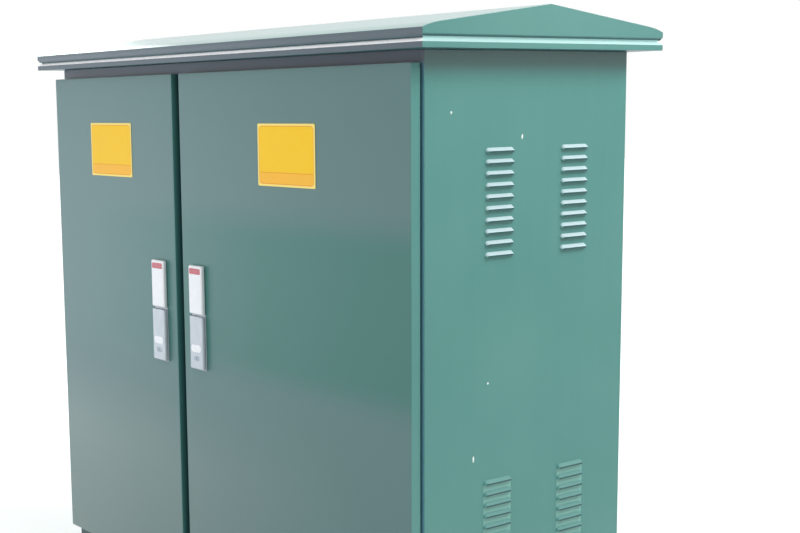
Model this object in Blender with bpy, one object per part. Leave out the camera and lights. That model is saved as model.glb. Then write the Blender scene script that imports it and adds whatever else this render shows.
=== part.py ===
"""Outdoor transformer cabinet of folded sheet steel on a channel plinth.

The front (-Y) has two overlay doors of unequal width, the ends have pressed
louvres, and a low gable roof with a grooved fascia runs past every side.
"""
import math

import bmesh
import bpy
from mathutils import Matrix, Vector

# Driving dimensions in metres
BODY_WIDTH = 2.020
BODY_DEPTH = 0.800
PLINTH_HEIGHT = 0.100
DOOR_HEIGHT = 1.719
SILL_REVEAL = 0.025
LINTEL_REVEAL = 0.0353
GAP = 0.0003

SHEET = 0.002
PANEL_FOLD = 0.020
PANEL_SEAM = 0.002
PANEL_BEND = 0.003

PLINTH_FLANGE = 0.048
PLINTH_WALL = 0.0053
FLOOR_THICKNESS = 0.003
FRAME_SIZE = 0.050
FRAME_WALL = 0.003
BOTTOM_RAIL_HEIGHT = 0.040
MULLION_WIDTH = 0.080

DOOR_THICKNESS = 0.032
DOOR_STANDOFF = 0.009
DOOR_SIDE_REVEAL = 0.008
DOOR_LIP = 0.012
DOOR_EDGE_RADIUS = 0.002
LEFT_DOOR_WIDTH = 0.815
CENTRE_GAP = 0.045

HINGE_INSET = 0.012
HINGE_SETBACK = 0.0165
HINGE_HEIGHT = 0.040
HINGE_END_MARGIN = 0.180
HINGE_COUNT = 3
BARREL_RADIUS = 0.0055
EAR_RADIUS = 0.005
PIN_RADIUS = 0.0025
PIN_CLEARANCE = 0.0004
PIN_END = 0.004
BRACKET_CRANK = 0.030
BRACKET_LEAF = 0.016
DOOR_LEAF_INNER = 0.018
DOOR_LEAF_OUTER = 0.008
DOOR_LEAF_HALF = 0.034

LOCK_WIDTH = 0.078
LOCK_HEIGHT = 0.3465
LOCK_EDGE_DISTANCE = 0.095
LOCK_CENTRE_HEIGHT = 0.925
LOCK_PLATE = 0.0035
LOCK_PROUD = 0.016
LOCK_UPPER_SHARE = 0.463
LOCK_HOUSING_WIDTH = 0.050
LOCK_HOUSING_HEIGHT = 0.240
LOCK_HOUSING_DEPTH = 0.019
HOUSING_CLEARANCE = 0.001
LEVER_WALL = 0.0028
LEVER_PIN_RADIUS = 0.0018
PIVOT_DEPTH = 0.0065
PIVOT_DROP = 0.011
PIVOT_COVER = 0.003
LUG_RADIUS = 0.0032
LUG_WIDTH = 0.024
ROD_WIDTH = 0.020
ROD_THICKNESS = 0.004
ROD_CLEARANCE = 0.001
ROD_END_MARGIN = 0.030

SIGN_WIDTH = 0.285
SIGN_HEIGHT = 0.187
SIGN_THICKNESS = 0.0015
SIGN_CORNER = 0.005
SIGN_TOP_MARGIN = 0.160
LEFT_SIGN_FROM_HINGE = 0.406
RIGHT_SIGN_FROM_HINGE = 0.556

STIFFENER_MARGIN = 0.034
STIFFENER_DEPTH = 0.022
STIFFENER_WALL = 0.003
STIFFENER_END_MARGIN = 0.200

ROOF_OVERHANG = 0.072
ROOF_SHEET = 0.0015
ROOF_RISE = 0.0693
SOFFIT_INSET = 0.032
LOWER_BAND = 0.0171
LEDGE_DROP = 0.0070
GROOVE_MOUTH = 0.0040
GROOVE_DEPTH = 0.016
UPPER_BAND = 0.0246
CURL_RADIUS = 0.006
CURL_STEPS = 3
EAVE_STRIP = 0.045
EAVE_STRIP_RISE = 0.0114

TRUSS_THICKNESS = 0.005
TRUSS_CHORD = 0.030
TRUSS_RAFTER = 0.025
RIDGE_RAIL_HALF = 0.030
RIDGE_RAIL_WALL = 0.003

LOUVRE_LENGTH = 0.108
LOUVRE_HEIGHT = 0.014
LOUVRE_PROUD = 0.009
LOUVRE_WALL = 0.0015
LOUVRE_END = 0.010
LOUVRE_PITCH = 0.0321
LOUVRE_ROWS = 10
UPPER_LOUVRE_MARGIN = 0.230
LOWER_LOUVRE_MARGIN = 0.245
LOUVRE_COLUMNS = (0.278, 0.578)

# Levels and planes worked out from the driving dimensions
HALF_X = BODY_WIDTH / 2
HALF_Y = BODY_DEPTH / 2
DOOR_BOTTOM = PLINTH_HEIGHT + SILL_REVEAL
DOOR_TOP = DOOR_BOTTOM + DOOR_HEIGHT
ROOF_SEAT = DOOR_TOP + LINTEL_REVEAL
WALL_BOTTOM = PLINTH_HEIGHT + GAP
WALL_TOP = ROOF_SEAT - GAP
FRAME_X = HALF_X - PANEL_FOLD - GAP
FRAME_FRONT = -HALF_Y
FRAME_REAR = HALF_Y - PANEL_FOLD - GAP
POST_BOTTOM = WALL_BOTTOM + BOTTOM_RAIL_HEIGHT + GAP
POST_TOP = WALL_TOP - FRAME_SIZE - GAP

DOOR_REAR_Y = -HALF_Y - DOOR_STANDOFF
DOOR_FACE_Y = DOOR_REAR_Y - DOOR_THICKNESS
DOOR_OUTER_X = HALF_X - DOOR_SIDE_REVEAL
LEFT_DOOR_FREE_X = -DOOR_OUTER_X + LEFT_DOOR_WIDTH
RIGHT_DOOR_FREE_X = LEFT_DOOR_FREE_X + CENTRE_GAP
MULLION_X = (LEFT_DOOR_FREE_X + RIGHT_DOOR_FREE_X) / 2
HINGE_X = DOOR_OUTER_X - HINGE_INSET
HINGE_Y = DOOR_REAR_Y - HINGE_SETBACK
LOCK_Z = DOOR_BOTTOM + LOCK_CENTRE_HEIGHT
LOCK_BREAK_Z = LOCK_Z + LOCK_HEIGHT * (0.5 - LOCK_UPPER_SHARE)
LOCK_FRONT_Y = DOOR_FACE_Y - LOCK_PROUD
LOCK_PLATE_Y = DOOR_FACE_Y - GAP - LOCK_PLATE
SIGN_Z = DOOR_TOP - SIGN_TOP_MARGIN - SIGN_HEIGHT / 2

BAND_TOP_Z = ROOF_SEAT + LOWER_BAND
GROOVE_FLOOR_Z = BAND_TOP_Z + LEDGE_DROP
CURL_BOTTOM_Z = GROOVE_FLOOR_Z + GROOVE_MOUTH
EAVE_Z = CURL_BOTTOM_Z + UPPER_BAND
RIDGE_Z = EAVE_Z + ROOF_RISE
ROOF_HALF_X = HALF_X + ROOF_OVERHANG
ROOF_HALF_Y = HALF_Y + ROOF_OVERHANG
STRIP_Y = ROOF_HALF_Y - EAVE_STRIP
STRIP_Z = EAVE_Z + EAVE_STRIP_RISE

SIDES = {"left": -1, "right": 1}
FREE_EDGE = {"left": LEFT_DOOR_FREE_X, "right": RIGHT_DOOR_FREE_X}
SIGN_X = {
    "left": -DOOR_OUTER_X + LEFT_SIGN_FROM_HINGE,
    "right": DOOR_OUTER_X - RIGHT_SIGN_FROM_HINGE,
}
LOCK_X = {
    "left": LEFT_DOOR_FREE_X - LOCK_EDGE_DISTANCE,
    "right": RIGHT_DOOR_FREE_X + LOCK_EDGE_DISTANCE,
}

# Colour, roughness and metallic value of each finish
TEAL_PAINT = ((0.090, 0.255, 0.220), 0.45, 0.0)
FRAME_PAINT = ((0.070, 0.095, 0.105), 0.55, 0.0)
LOCK_STEEL = ((0.800, 0.820, 0.860), 0.30, 0.6)
ZINC = ((0.560, 0.570, 0.580), 0.40, 0.9)
SIGN_YELLOW = ((0.950, 0.500, 0.030), 0.40, 0.0)


def clear_scene():
    for item in list(bpy.data.objects):
        bpy.data.objects.remove(item, do_unlink=True)


def make_material(name, finish):
    colour, roughness, metallic = finish
    material = bpy.data.materials.new(name)
    material.use_nodes = True
    shader = material.node_tree.nodes["Principled BSDF"]
    shader.inputs["Base Color"].default_value = (*colour, 1.0)
    shader.inputs["Roughness"].default_value = roughness
    shader.inputs["Metallic"].default_value = metallic
    material.diffuse_color = (*colour, 1.0)
    return material


def add_object(name, bm, finish, origin=(0, 0, 0), parent=None):
    """Turn bm, drawn in the cabinet's frame, into an object placed at origin."""
    bmesh.ops.recalc_face_normals(bm, faces=bm.faces)
    bm.transform(Matrix.Translation(-Vector(origin)))
    mesh = bpy.data.meshes.new(name)
    bm.to_mesh(mesh)
    bm.free()
    mesh.materials.append(make_material(name, finish))
    item = bpy.data.objects.new(name, mesh)
    bpy.context.collection.objects.link(item)
    item.location = origin
    if parent:
        item.parent = parent
        item.location = Vector(origin) - parent.location
    return item


def add_tool(name, bm):
    """A hidden shape, drawn in the cabinet's frame, for a Boolean."""
    bmesh.ops.recalc_face_normals(bm, faces=bm.faces)
    mesh = bpy.data.meshes.new(name)
    bm.to_mesh(mesh)
    bm.free()
    tool = bpy.data.objects.new(name, mesh)
    bpy.context.collection.objects.link(tool)
    tool.hide_render = True
    tool.display_type = "WIRE"
    return tool


def boolean(item, tool, operation):
    modifier = item.modifiers.new(operation.lower(), "BOOLEAN")
    modifier.operation = operation
    modifier.solver = "EXACT"
    modifier.object = tool


def smooth(item, degrees=35):
    item.data.shade_smooth()
    item.data.set_sharp_from_angle(angle=math.radians(degrees))


def add_box(bm, x_span, y_span, z_span):
    """Add a box and return its vertices; a span may run either way."""
    lows = [min(span) for span in (x_span, y_span, z_span)]
    highs = [max(span) for span in (x_span, y_span, z_span)]
    made = bmesh.ops.create_cube(bm, size=1.0)["verts"]
    for vertex in made:
        for axis in range(3):
            vertex.co[axis] = highs[axis] if vertex.co[axis] > 0 else lows[axis]
    return made


def add_prism(bm, outline, span, place):
    """Extrude a flat outline over a span; place(u, v, w) gives its position."""
    rims = [[bm.verts.new(place(u, v, w)) for u, v in outline] for w in span]
    for rim in rims:
        bm.faces.new(rim)
    for index in range(len(outline)):
        after = (index + 1) % len(outline)
        bm.faces.new((rims[0][index], rims[0][after], rims[1][after], rims[1][index]))


def add_cylinder(bm, radius, centre, axis, length, steps=20):
    turn = Vector((0, 0, 1)).rotation_difference(Vector(axis)).to_matrix().to_4x4()
    bmesh.ops.create_cone(
        bm, cap_ends=True, segments=steps, radius1=radius, radius2=radius,
        depth=length, matrix=Matrix.Translation(centre) @ turn)


def add_ring(bm, section, x_half, front, rear):
    """Sweep a closed (inset, height) section round a mitred rectangle."""
    corners = ((-1, front, 1), (1, front, 1), (1, rear, -1), (-1, rear, -1))
    loops = []
    for side, y, inward in corners:
        loops.append([
            bm.verts.new((side * (x_half - inset), y + inward * inset, height))
            for inset, height in section])
    for corner in range(4):
        here = loops[corner]
        after = loops[(corner + 1) % 4]
        for index in range(len(section)):
            following = (index + 1) % len(section)
            bm.faces.new((here[index], after[index], after[following], here[following]))


def channel_section(depth, wall, bottom, top):
    """A C section that opens inwards."""
    return [
        (0, bottom), (depth, bottom), (depth, bottom + wall), (wall, bottom + wall),
        (wall, top - wall), (depth, top - wall), (depth, top), (0, top)]


def round_tab(root, radius, steps=8):
    """A tab from root, behind the origin, to a round end about the origin."""
    outline = [(-radius, root), (radius, root)]
    for step in range(steps + 1):
        angle = math.pi * step / steps
        outline.append((radius * math.cos(angle), radius * math.sin(angle)))
    return outline


def build_plinth_and_floor():
    bm = bmesh.new()
    section = channel_section(PLINTH_FLANGE, PLINTH_WALL, 0, PLINTH_HEIGHT)
    add_ring(bm, section, HALF_X, -HALF_Y, HALF_Y)
    add_object("base_frame", bm, FRAME_PAINT)

    bm = bmesh.new()
    inner_x = FRAME_X - FRAME_SIZE - GAP
    floor_y = (FRAME_FRONT + FRAME_SIZE + GAP, FRAME_REAR - FRAME_SIZE - GAP)
    add_box(bm, (-inner_x, inner_x), floor_y, (WALL_BOTTOM, WALL_BOTTOM + FLOOR_THICKNESS))
    add_object("floor_plate", bm, ZINC)


def build_frame():
    rails = {
        "bottom_frame": (WALL_BOTTOM, WALL_BOTTOM + BOTTOM_RAIL_HEIGHT),
        "top_frame": (WALL_TOP - FRAME_SIZE, WALL_TOP),
    }
    for name, (bottom, top) in rails.items():
        bm = bmesh.new()
        section = channel_section(FRAME_SIZE, FRAME_WALL, bottom, top)
        add_ring(bm, section, FRAME_X, FRAME_FRONT, FRAME_REAR)
        add_object(name, bm, FRAME_PAINT)

    corner = FRAME_X - FRAME_SIZE / 2
    front = FRAME_FRONT + FRAME_SIZE / 2
    rear = FRAME_REAR - FRAME_SIZE / 2
    posts = {
        "post_front_left": (-corner, front, FRAME_SIZE),
        "post_front_right": (corner, front, FRAME_SIZE),
        "post_rear_left": (-corner, rear, FRAME_SIZE),
        "post_rear_right": (corner, rear, FRAME_SIZE),
        "front_mullion": (MULLION_X, front, MULLION_WIDTH),
        "rear_mullion": (0, rear, MULLION_WIDTH),
    }
    for name, (x, y, width) in posts.items():
        build_post(name, x, y, width)


def build_post(name, x, y, width):
    """A rectangular tube, open at both ends."""
    bm = bmesh.new()
    rims = []
    for z in (POST_BOTTOM, POST_TOP):
        for wall in (0, FRAME_WALL):
            half_x = width / 2 - wall
            half_y = FRAME_SIZE / 2 - wall
            corners = ((-1, -1), (1, -1), (1, 1), (-1, 1))
            rims.append([bm.verts.new((x + a * half_x, y + b * half_y, z)) for a, b in corners])
    low_outer, low_inner, high_outer, high_inner = rims
    for first, second in (
            (low_outer, high_outer), (low_inner, high_inner),
            (low_outer, low_inner), (high_outer, high_inner)):
        for index in range(4):
            after = (index + 1) % 4
            bm.faces.new((first[index], first[after], second[after], second[index]))
    add_object(name, bm, FRAME_PAINT, origin=(x, y, POST_BOTTOM))


def add_tray(bm, x_span, y_span, z_span, face_axis, face_sign):
    """A folded panel: one outer face with four folds, open behind."""
    outer = add_box(bm, x_span, y_span, z_span)
    centre = sum((v.co for v in outer), Vector()) / len(outer)
    back = [v for v in outer if (v.co[face_axis] - centre[face_axis]) * face_sign < 0]
    face = next(f for f in bm.faces if all(v in back for v in f.verts))
    bmesh.ops.inset_region(bm, faces=[face], thickness=SHEET, use_even_offset=True)
    span = (x_span, y_span, z_span)[face_axis]
    move = Vector((0, 0, 0))
    move[face_axis] = face_sign * (abs(span[1] - span[0]) - SHEET)
    pushed = bmesh.ops.extrude_discrete_faces(bm, faces=[face])["faces"]
    bmesh.ops.translate(bm, verts=pushed[0].verts, vec=move)
    folds = [e for e in bm.edges if all(v in outer and v not in back for v in e.verts)]
    bmesh.ops.bevel(bm, geom=folds, offset=PANEL_BEND, segments=2, profile=0.5, affect="EDGES")


def louvre_places():
    """Column positions along Y and the height of each louvre's lip."""
    columns = [-HALF_Y + column for column in LOUVRE_COLUMNS]
    reach = (LOUVRE_ROWS - 1) * LOUVRE_PITCH
    upper = DOOR_TOP - UPPER_LOUVRE_MARGIN - LOUVRE_HEIGHT - reach
    lower = DOOR_BOTTOM + LOWER_LOUVRE_MARGIN
    heights = [base + row * LOUVRE_PITCH for base in (lower, upper) for row in range(LOUVRE_ROWS)]
    return columns, heights


def louvre_solid(bm, side, y, z, inner):
    """One hood, or with inner set the hollow to be cut out of it and the panel."""
    wall = LOUVRE_WALL if inner else 0
    root = -SHEET - 0.001 if inner else -SHEET / 2
    drop = 0.0005 if inner else 0
    proud = LOUVRE_PROUD - wall
    outline = (
        (root, -drop), (proud, -drop), (proud, LOUVRE_HEIGHT * 0.14),
        (proud * 0.62, LOUVRE_HEIGHT * 0.62), (root, LOUVRE_HEIGHT - wall * 1.4))
    tip = LOUVRE_LENGTH / 2 - 2.7 * wall
    shoulder = LOUVRE_LENGTH / 2 - LOUVRE_END - wall
    tip_share = 0.35 if inner else 0.12
    stations = ((-tip, tip_share), (-shoulder, 1), (shoulder, 1), (tip, tip_share))
    rims = []
    for along, share in stations:
        rims.append([
            bm.verts.new((side * (HALF_X + (out * share if out > 0 else out)), y + along, z + up))
            for out, up in outline])
    bm.faces.new(rims[0])
    bm.faces.new(rims[-1])
    for near, far in zip(rims, rims[1:]):
        for index in range(len(outline)):
            after = (index + 1) % len(outline)
            bm.faces.new((near[index], near[after], far[after], far[index]))


def build_side_panels():
    columns, heights = louvre_places()
    for word, side in SIDES.items():
        bm = bmesh.new()
        add_tray(
            bm, (side * (HALF_X - PANEL_FOLD), side * HALF_X), (-HALF_Y, HALF_Y),
            (WALL_BOTTOM, WALL_TOP), 0, side)
        panel = add_object("side_panel_" + word, bm, TEAL_PAINT)
        for purpose, inner in (("UNION", False), ("DIFFERENCE", True)):
            bm = bmesh.new()
            for y in columns:
                for z in heights:
                    louvre_solid(bm, side, y, z, inner)
            tool = add_tool("louvre_" + purpose.lower() + "_" + word, bm)
            boolean(panel, tool, purpose)


def build_rear_panels():
    for word, side in SIDES.items():
        bm = bmesh.new()
        add_tray(
            bm, (side * PANEL_SEAM / 2, side * (HALF_X - PANEL_FOLD - PANEL_SEAM)),
            (HALF_Y - PANEL_FOLD, HALF_Y), (WALL_BOTTOM, WALL_TOP), 1, 1)
        add_object("rear_panel_" + word, bm, TEAL_PAINT)


def fascia_profile():
    """Outer line of the fascia from the eave down and in under the soffit."""
    out = ROOF_OVERHANG
    line = [(out, EAVE_Z)]
    for step in range(CURL_STEPS + 1):
        angle = math.pi / 2 * step / CURL_STEPS
        line.append((
            out - CURL_RADIUS * (1 - math.cos(angle)),
            CURL_BOTTOM_Z + CURL_RADIUS * (1 - math.sin(angle))))
    line.append((out - GROOVE_DEPTH, CURL_BOTTOM_Z))
    line.append((out - GROOVE_DEPTH, GROOVE_FLOOR_Z))
    line.append((out, BAND_TOP_Z))
    line.append((out, ROOF_SEAT))
    line.append((-SOFFIT_INSET, ROOF_SEAT))
    return line


def build_roof():
    """One folded shell: two slopes, two gables and the grooved fascia."""
    bm = bmesh.new()
    loops = []
    for out, z in fascia_profile():
        corners = ((-1, -1), (1, -1), (1, 1), (-1, 1))
        loops.append([
            bm.verts.new((a * (HALF_X + out), b * (HALF_Y + out), z)) for a, b in corners])
    for upper, lower in zip(loops, loops[1:]):
        for index in range(4):
            after = (index + 1) % 4
            bm.faces.new((upper[index], lower[index], lower[after], upper[after]))
    eave = loops[0]
    ends = []
    for side in (-1, 1):
        x = side * ROOF_HALF_X
        points = ((-STRIP_Y, STRIP_Z), (0, RIDGE_Z), (STRIP_Y, STRIP_Z))
        ends.append([bm.verts.new((x, y, z)) for y, z in points])
    rakes = [[eave[0], *ends[0], eave[3]], [eave[1], *ends[1], eave[2]]]
    for rake in rakes:
        bm.faces.new(rake)
    for index in range(4):
        bm.faces.new((rakes[0][index], rakes[1][index], rakes[1][index + 1], rakes[0][index + 1]))
    roof = add_object("roof_shell", bm, TEAL_PAINT)
    sheet = roof.modifiers.new("sheet", "SOLIDIFY")
    sheet.thickness = ROOF_SHEET
    sheet.offset = -1
    sheet.use_even_offset = True
    sheet.use_quality_normals = True


def roof_underside(y):
    """Height of the roof sheet's lower face at a distance y from the ridge."""
    slope = (RIDGE_Z - STRIP_Z) / STRIP_Y
    return RIDGE_Z - slope * abs(y) - ROOF_SHEET * math.hypot(1, slope) - GAP


def build_roof_trusses():
    """Flat gable frames on the top rails, with a ridge rail let into their tops."""
    foot = WALL_TOP + GAP
    front = -HALF_Y + SOFFIT_INSET + PANEL_SEAM
    rear = HALF_Y - SOFFIT_INSET - PANEL_SEAM
    notch = RIDGE_RAIL_HALF + PANEL_SEAM
    step = RIDGE_RAIL_WALL + 2 * GAP
    outline = [
        (front, foot), (rear, foot), (rear, roof_underside(rear)),
        (notch, roof_underside(notch)), (notch, roof_underside(notch) - step),
        (0, roof_underside(0) - step),
        (-notch, roof_underside(notch) - step), (-notch, roof_underside(notch)),
        (front, roof_underside(front))]
    hole_y = rear - 3 * TRUSS_CHORD
    hole_floor = foot + TRUSS_CHORD
    hole = [
        (-hole_y, hole_floor), (hole_y, hole_floor),
        (hole_y, roof_underside(hole_y) - TRUSS_RAFTER),
        (0, roof_underside(0) - TRUSS_RAFTER - step),
        (-hole_y, roof_underside(hole_y) - TRUSS_RAFTER)]
    spots = {"left": -1, "centre": 0, "right": 1}
    reach = FRAME_X - FRAME_SIZE
    for word, side in spots.items():
        x = side * reach
        bm = bmesh.new()
        half = TRUSS_THICKNESS / 2
        add_prism(bm, outline, (x - half, x + half), lambda y, z, w: (w, y, z))
        truss = add_object("roof_truss_" + word, bm, FRAME_PAINT)
        bm = bmesh.new()
        add_prism(bm, hole, (x - 2 * half, x + 2 * half), lambda y, z, w: (w, y, z))
        boolean(truss, add_tool("truss_hole_" + word, bm), "DIFFERENCE")

    half = RIDGE_RAIL_HALF
    rail = [
        (-half, roof_underside(half)), (0, roof_underside(0)), (half, roof_underside(half)),
        (half, roof_underside(half) - RIDGE_RAIL_WALL), (0, roof_underside(0) - RIDGE_RAIL_WALL),
        (-half, roof_underside(half) - RIDGE_RAIL_WALL)]
    bm = bmesh.new()
    end = ROOF_HALF_X - ROOF_OVERHANG / 2
    add_prism(bm, rail, (-end, end), lambda y, z, w: (w, y, z))
    add_object("roof_ridge_rail", bm, FRAME_PAINT)


def hinge_heights():
    low = DOOR_BOTTOM + HINGE_END_MARGIN
    high = DOOR_TOP - HINGE_END_MARGIN
    return [low + (high - low) * step / (HINGE_COUNT - 1) for step in range(HINGE_COUNT)]


def build_hinge_brackets():
    """Fixed hinge halves: a leaf on the post, a cranked arm and a barrel."""
    leaf_back = FRAME_FRONT - GAP - HINGE_Y
    leaf_front = leaf_back - FRAME_WALL
    arm_outer = -BRACKET_CRANK
    arm_inner = arm_outer + FRAME_WALL
    leaf_end = arm_outer - BRACKET_LEAF
    leg_rear = -BARREL_RADIUS + FRAME_WALL
    start = math.pi + math.asin(-leg_rear / BARREL_RADIUS)
    steps = 12
    turn = start + math.pi / 2
    barrel = []
    for step in range(steps + 1):
        angle = -math.pi / 2 + turn * step / steps
        barrel.append((BARREL_RADIUS * math.cos(angle), BARREL_RADIUS * math.sin(angle)))
    outline = [
        (leaf_end, leaf_back), (leaf_end, leaf_front),
        (arm_outer, leaf_front), (arm_outer, -BARREL_RADIUS), *barrel,
        (arm_inner, leg_rear), (arm_inner, leaf_back)]
    for word, side in SIDES.items():
        for number, z in enumerate(hinge_heights(), 1):
            span = (z - HINGE_HEIGHT / 2, z + HINGE_HEIGHT / 2)
            bm = bmesh.new()
            add_prism(bm, outline, span,
                      lambda u, v, w: (side * (HINGE_X + u), HINGE_Y + v, w))
            bracket = add_object("hinge_bracket_%s_%d" % (word, number), bm, ZINC)
            smooth(bracket)
            bm = bmesh.new()
            add_cylinder(bm, PIN_RADIUS + PIN_CLEARANCE, (side * HINGE_X, HINGE_Y, z),
                         (0, 0, 1), 2 * HINGE_HEIGHT)
            tool = add_tool("hinge_bore_%s_%d" % (word, number), bm)
            boolean(bracket, tool, "DIFFERENCE")


def build_door_pan(word, side, axis):
    """A folded tray with a lip behind on every edge but the hinged one."""
    hinged = side * DOOR_OUTER_X
    free = FREE_EDGE[word]
    z_span = (DOOR_BOTTOM, DOOR_TOP)
    bm = bmesh.new()
    add_box(bm, (hinged, free), (DOOR_FACE_Y, DOOR_REAR_Y), z_span)
    edges = [e for e in bm.edges if not all(v.co.y > DOOR_REAR_Y - SHEET for v in e.verts)]
    bmesh.ops.bevel(bm, geom=edges, offset=DOOR_EDGE_RADIUS, segments=2, profile=0.5,
                    affect="EDGES")
    pan = add_object("door_%s_pan" % word, bm, TEAL_PAINT, (side * HINGE_X, HINGE_Y, 0), axis)

    bm = bmesh.new()
    add_box(bm, (hinged - side * SHEET, free + side * SHEET),
            (DOOR_FACE_Y + SHEET, DOOR_REAR_Y - SHEET), (DOOR_BOTTOM + SHEET, DOOR_TOP - SHEET))
    boolean(pan, add_tool("door_%s_hollow" % word, bm), "DIFFERENCE")

    bm = bmesh.new()
    add_box(bm, (hinged - side * SHEET, free + side * DOOR_LIP),
            (DOOR_FACE_Y + DOOR_THICKNESS / 2, DOOR_REAR_Y + SHEET),
            (DOOR_BOTTOM + DOOR_LIP, DOOR_TOP - DOOR_LIP))
    boolean(pan, add_tool("door_%s_back_opening" % word, bm), "DIFFERENCE")

    bm = bmesh.new()
    half_x = LOCK_HOUSING_WIDTH / 2 + HOUSING_CLEARANCE
    half_z = LOCK_HOUSING_HEIGHT / 2 + HOUSING_CLEARANCE
    add_box(bm, (LOCK_X[word] - half_x, LOCK_X[word] + half_x),
            (DOOR_FACE_Y - SHEET, DOOR_FACE_Y + 2 * SHEET), (LOCK_Z - half_z, LOCK_Z + half_z))
    boolean(pan, add_tool("door_%s_lock_cutout" % word, bm), "DIFFERENCE")


def build_door_stiffener(word, side, axis):
    """A ring of flat bar on edge, slotted where the lock rod passes through."""
    lock_end = LOCK_X[word] - side * (LOCK_HOUSING_WIDTH / 2 + STIFFENER_MARGIN)
    hinge_end = side * (HINGE_X - 3 * STIFFENER_MARGIN)
    y_span = (DOOR_FACE_Y + SHEET + GAP, DOOR_FACE_Y + SHEET + GAP + STIFFENER_DEPTH)
    low = DOOR_BOTTOM + STIFFENER_END_MARGIN
    high = DOOR_TOP - STIFFENER_END_MARGIN
    bm = bmesh.new()
    add_box(bm, (lock_end, hinge_end), y_span, (low, high))
    name = "door_%s_stiffener" % word
    ring = add_object(name, bm, TEAL_PAINT, (side * HINGE_X, HINGE_Y, 0), axis)
    bm = bmesh.new()
    wall = STIFFENER_WALL
    add_box(bm, (lock_end + side * wall, hinge_end - side * wall),
            (y_span[0] - wall, y_span[1] + wall), (low + wall, high - wall))
    boolean(ring, add_tool(name + "_hollow", bm), "DIFFERENCE")
    bm = bmesh.new()
    rod_y = rod_span()
    half = ROD_WIDTH / 2 + ROD_CLEARANCE
    add_box(bm, (LOCK_X[word] - half, LOCK_X[word] + half),
            (rod_y[0] - ROD_CLEARANCE, rod_y[1] + ROD_CLEARANCE), (low - wall, high + wall))
    boolean(ring, add_tool(name + "_slots", bm), "DIFFERENCE")


def rod_span():
    """Front and rear faces of the lock rod, just behind the lock's housing."""
    front = DOOR_FACE_Y + LOCK_HOUSING_DEPTH + GAP
    return (front, front + ROD_THICKNESS)


def build_lock(word, side, axis):
    x = LOCK_X[word]
    half = LOCK_WIDTH / 2
    low = LOCK_Z - LOCK_HEIGHT / 2
    high = LOCK_Z + LOCK_HEIGHT / 2
    pivot = (x, LOCK_FRONT_Y + PIVOT_DEPTH, LOCK_BREAK_Z - PIVOT_DROP)
    back = DOOR_FACE_Y - GAP
    profile = [
        (back, low), (LOCK_PLATE_Y, low), (LOCK_PLATE_Y, LOCK_BREAK_Z),
        (LOCK_FRONT_Y, LOCK_BREAK_Z), (LOCK_FRONT_Y, high), (back, high)]
    origin = (side * HINGE_X, HINGE_Y, 0)
    bm = bmesh.new()
    add_prism(bm, profile, (x - half, x + half), lambda y, z, w: (w, y, z))
    plate = add_object("door_%s_lock_plate" % word, bm, LOCK_STEEL, origin, axis)

    bm = bmesh.new()
    add_box(bm, (x - LOCK_HOUSING_WIDTH / 2, x + LOCK_HOUSING_WIDTH / 2),
            (back - LOCK_PLATE / 2, DOOR_FACE_Y + LOCK_HOUSING_DEPTH),
            (LOCK_Z - LOCK_HOUSING_HEIGHT / 2, LOCK_Z + LOCK_HOUSING_HEIGHT / 2))
    lug = round_tab(pivot[1] - LOCK_PLATE_Y - LOCK_PLATE / 3, LUG_RADIUS)
    add_prism(bm, lug, (x - LUG_WIDTH / 2, x + LUG_WIDTH / 2),
              lambda u, v, w: (w, pivot[1] - v, pivot[2] + u))
    boolean(plate, add_tool("lock_%s_housing" % word, bm), "UNION")
    bm = bmesh.new()
    add_cylinder(bm, LEVER_PIN_RADIUS + PIN_CLEARANCE, pivot, (1, 0, 0), LOCK_WIDTH / 2, 12)
    boolean(plate, add_tool("lock_%s_pin_bore" % word, bm), "DIFFERENCE")

    lever_axis = bpy.data.objects.new("handle_%s_axis" % word, None)
    bpy.context.collection.objects.link(lever_axis)
    lever_axis.location = Vector(pivot)
    build_lever(word, lever_axis, pivot, half, low)

    bm = bmesh.new()
    add_box(bm, (x - ROD_WIDTH / 2, x + ROD_WIDTH / 2), rod_span(),
            (DOOR_BOTTOM + ROD_END_MARGIN, DOOR_TOP - ROD_END_MARGIN))
    add_object("door_%s_lock_rod" % word, bm, ZINC, origin, axis)


def build_lever(word, lever_axis, pivot, half, low):
    """The handle: a pressed cover, open behind and above, on a pin across its top."""
    x = pivot[0]
    top = pivot[2] + PIVOT_COVER
    rear = pivot[1] + PIVOT_COVER
    reach = half - GAP
    bottom = low + LEVER_WALL
    bm = bmesh.new()
    add_box(bm, (x - reach, x + reach), (LOCK_FRONT_Y, rear), (bottom, top))
    lever = add_object("handle_" + word, bm, LOCK_STEEL, pivot, lever_axis)
    bm = bmesh.new()
    add_box(bm, (x - reach + LEVER_WALL, x + reach - LEVER_WALL),
            (LOCK_FRONT_Y + LEVER_WALL, rear + LEVER_WALL),
            (bottom + LEVER_WALL, top + LEVER_WALL))
    boolean(lever, add_tool("handle_%s_hollow" % word, bm), "DIFFERENCE")
    bm = bmesh.new()
    add_cylinder(bm, LEVER_PIN_RADIUS, pivot, (1, 0, 0), 2 * half - LEVER_WALL, 12)
    boolean(lever, add_tool("handle_%s_pin" % word, bm), "UNION")


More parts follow.
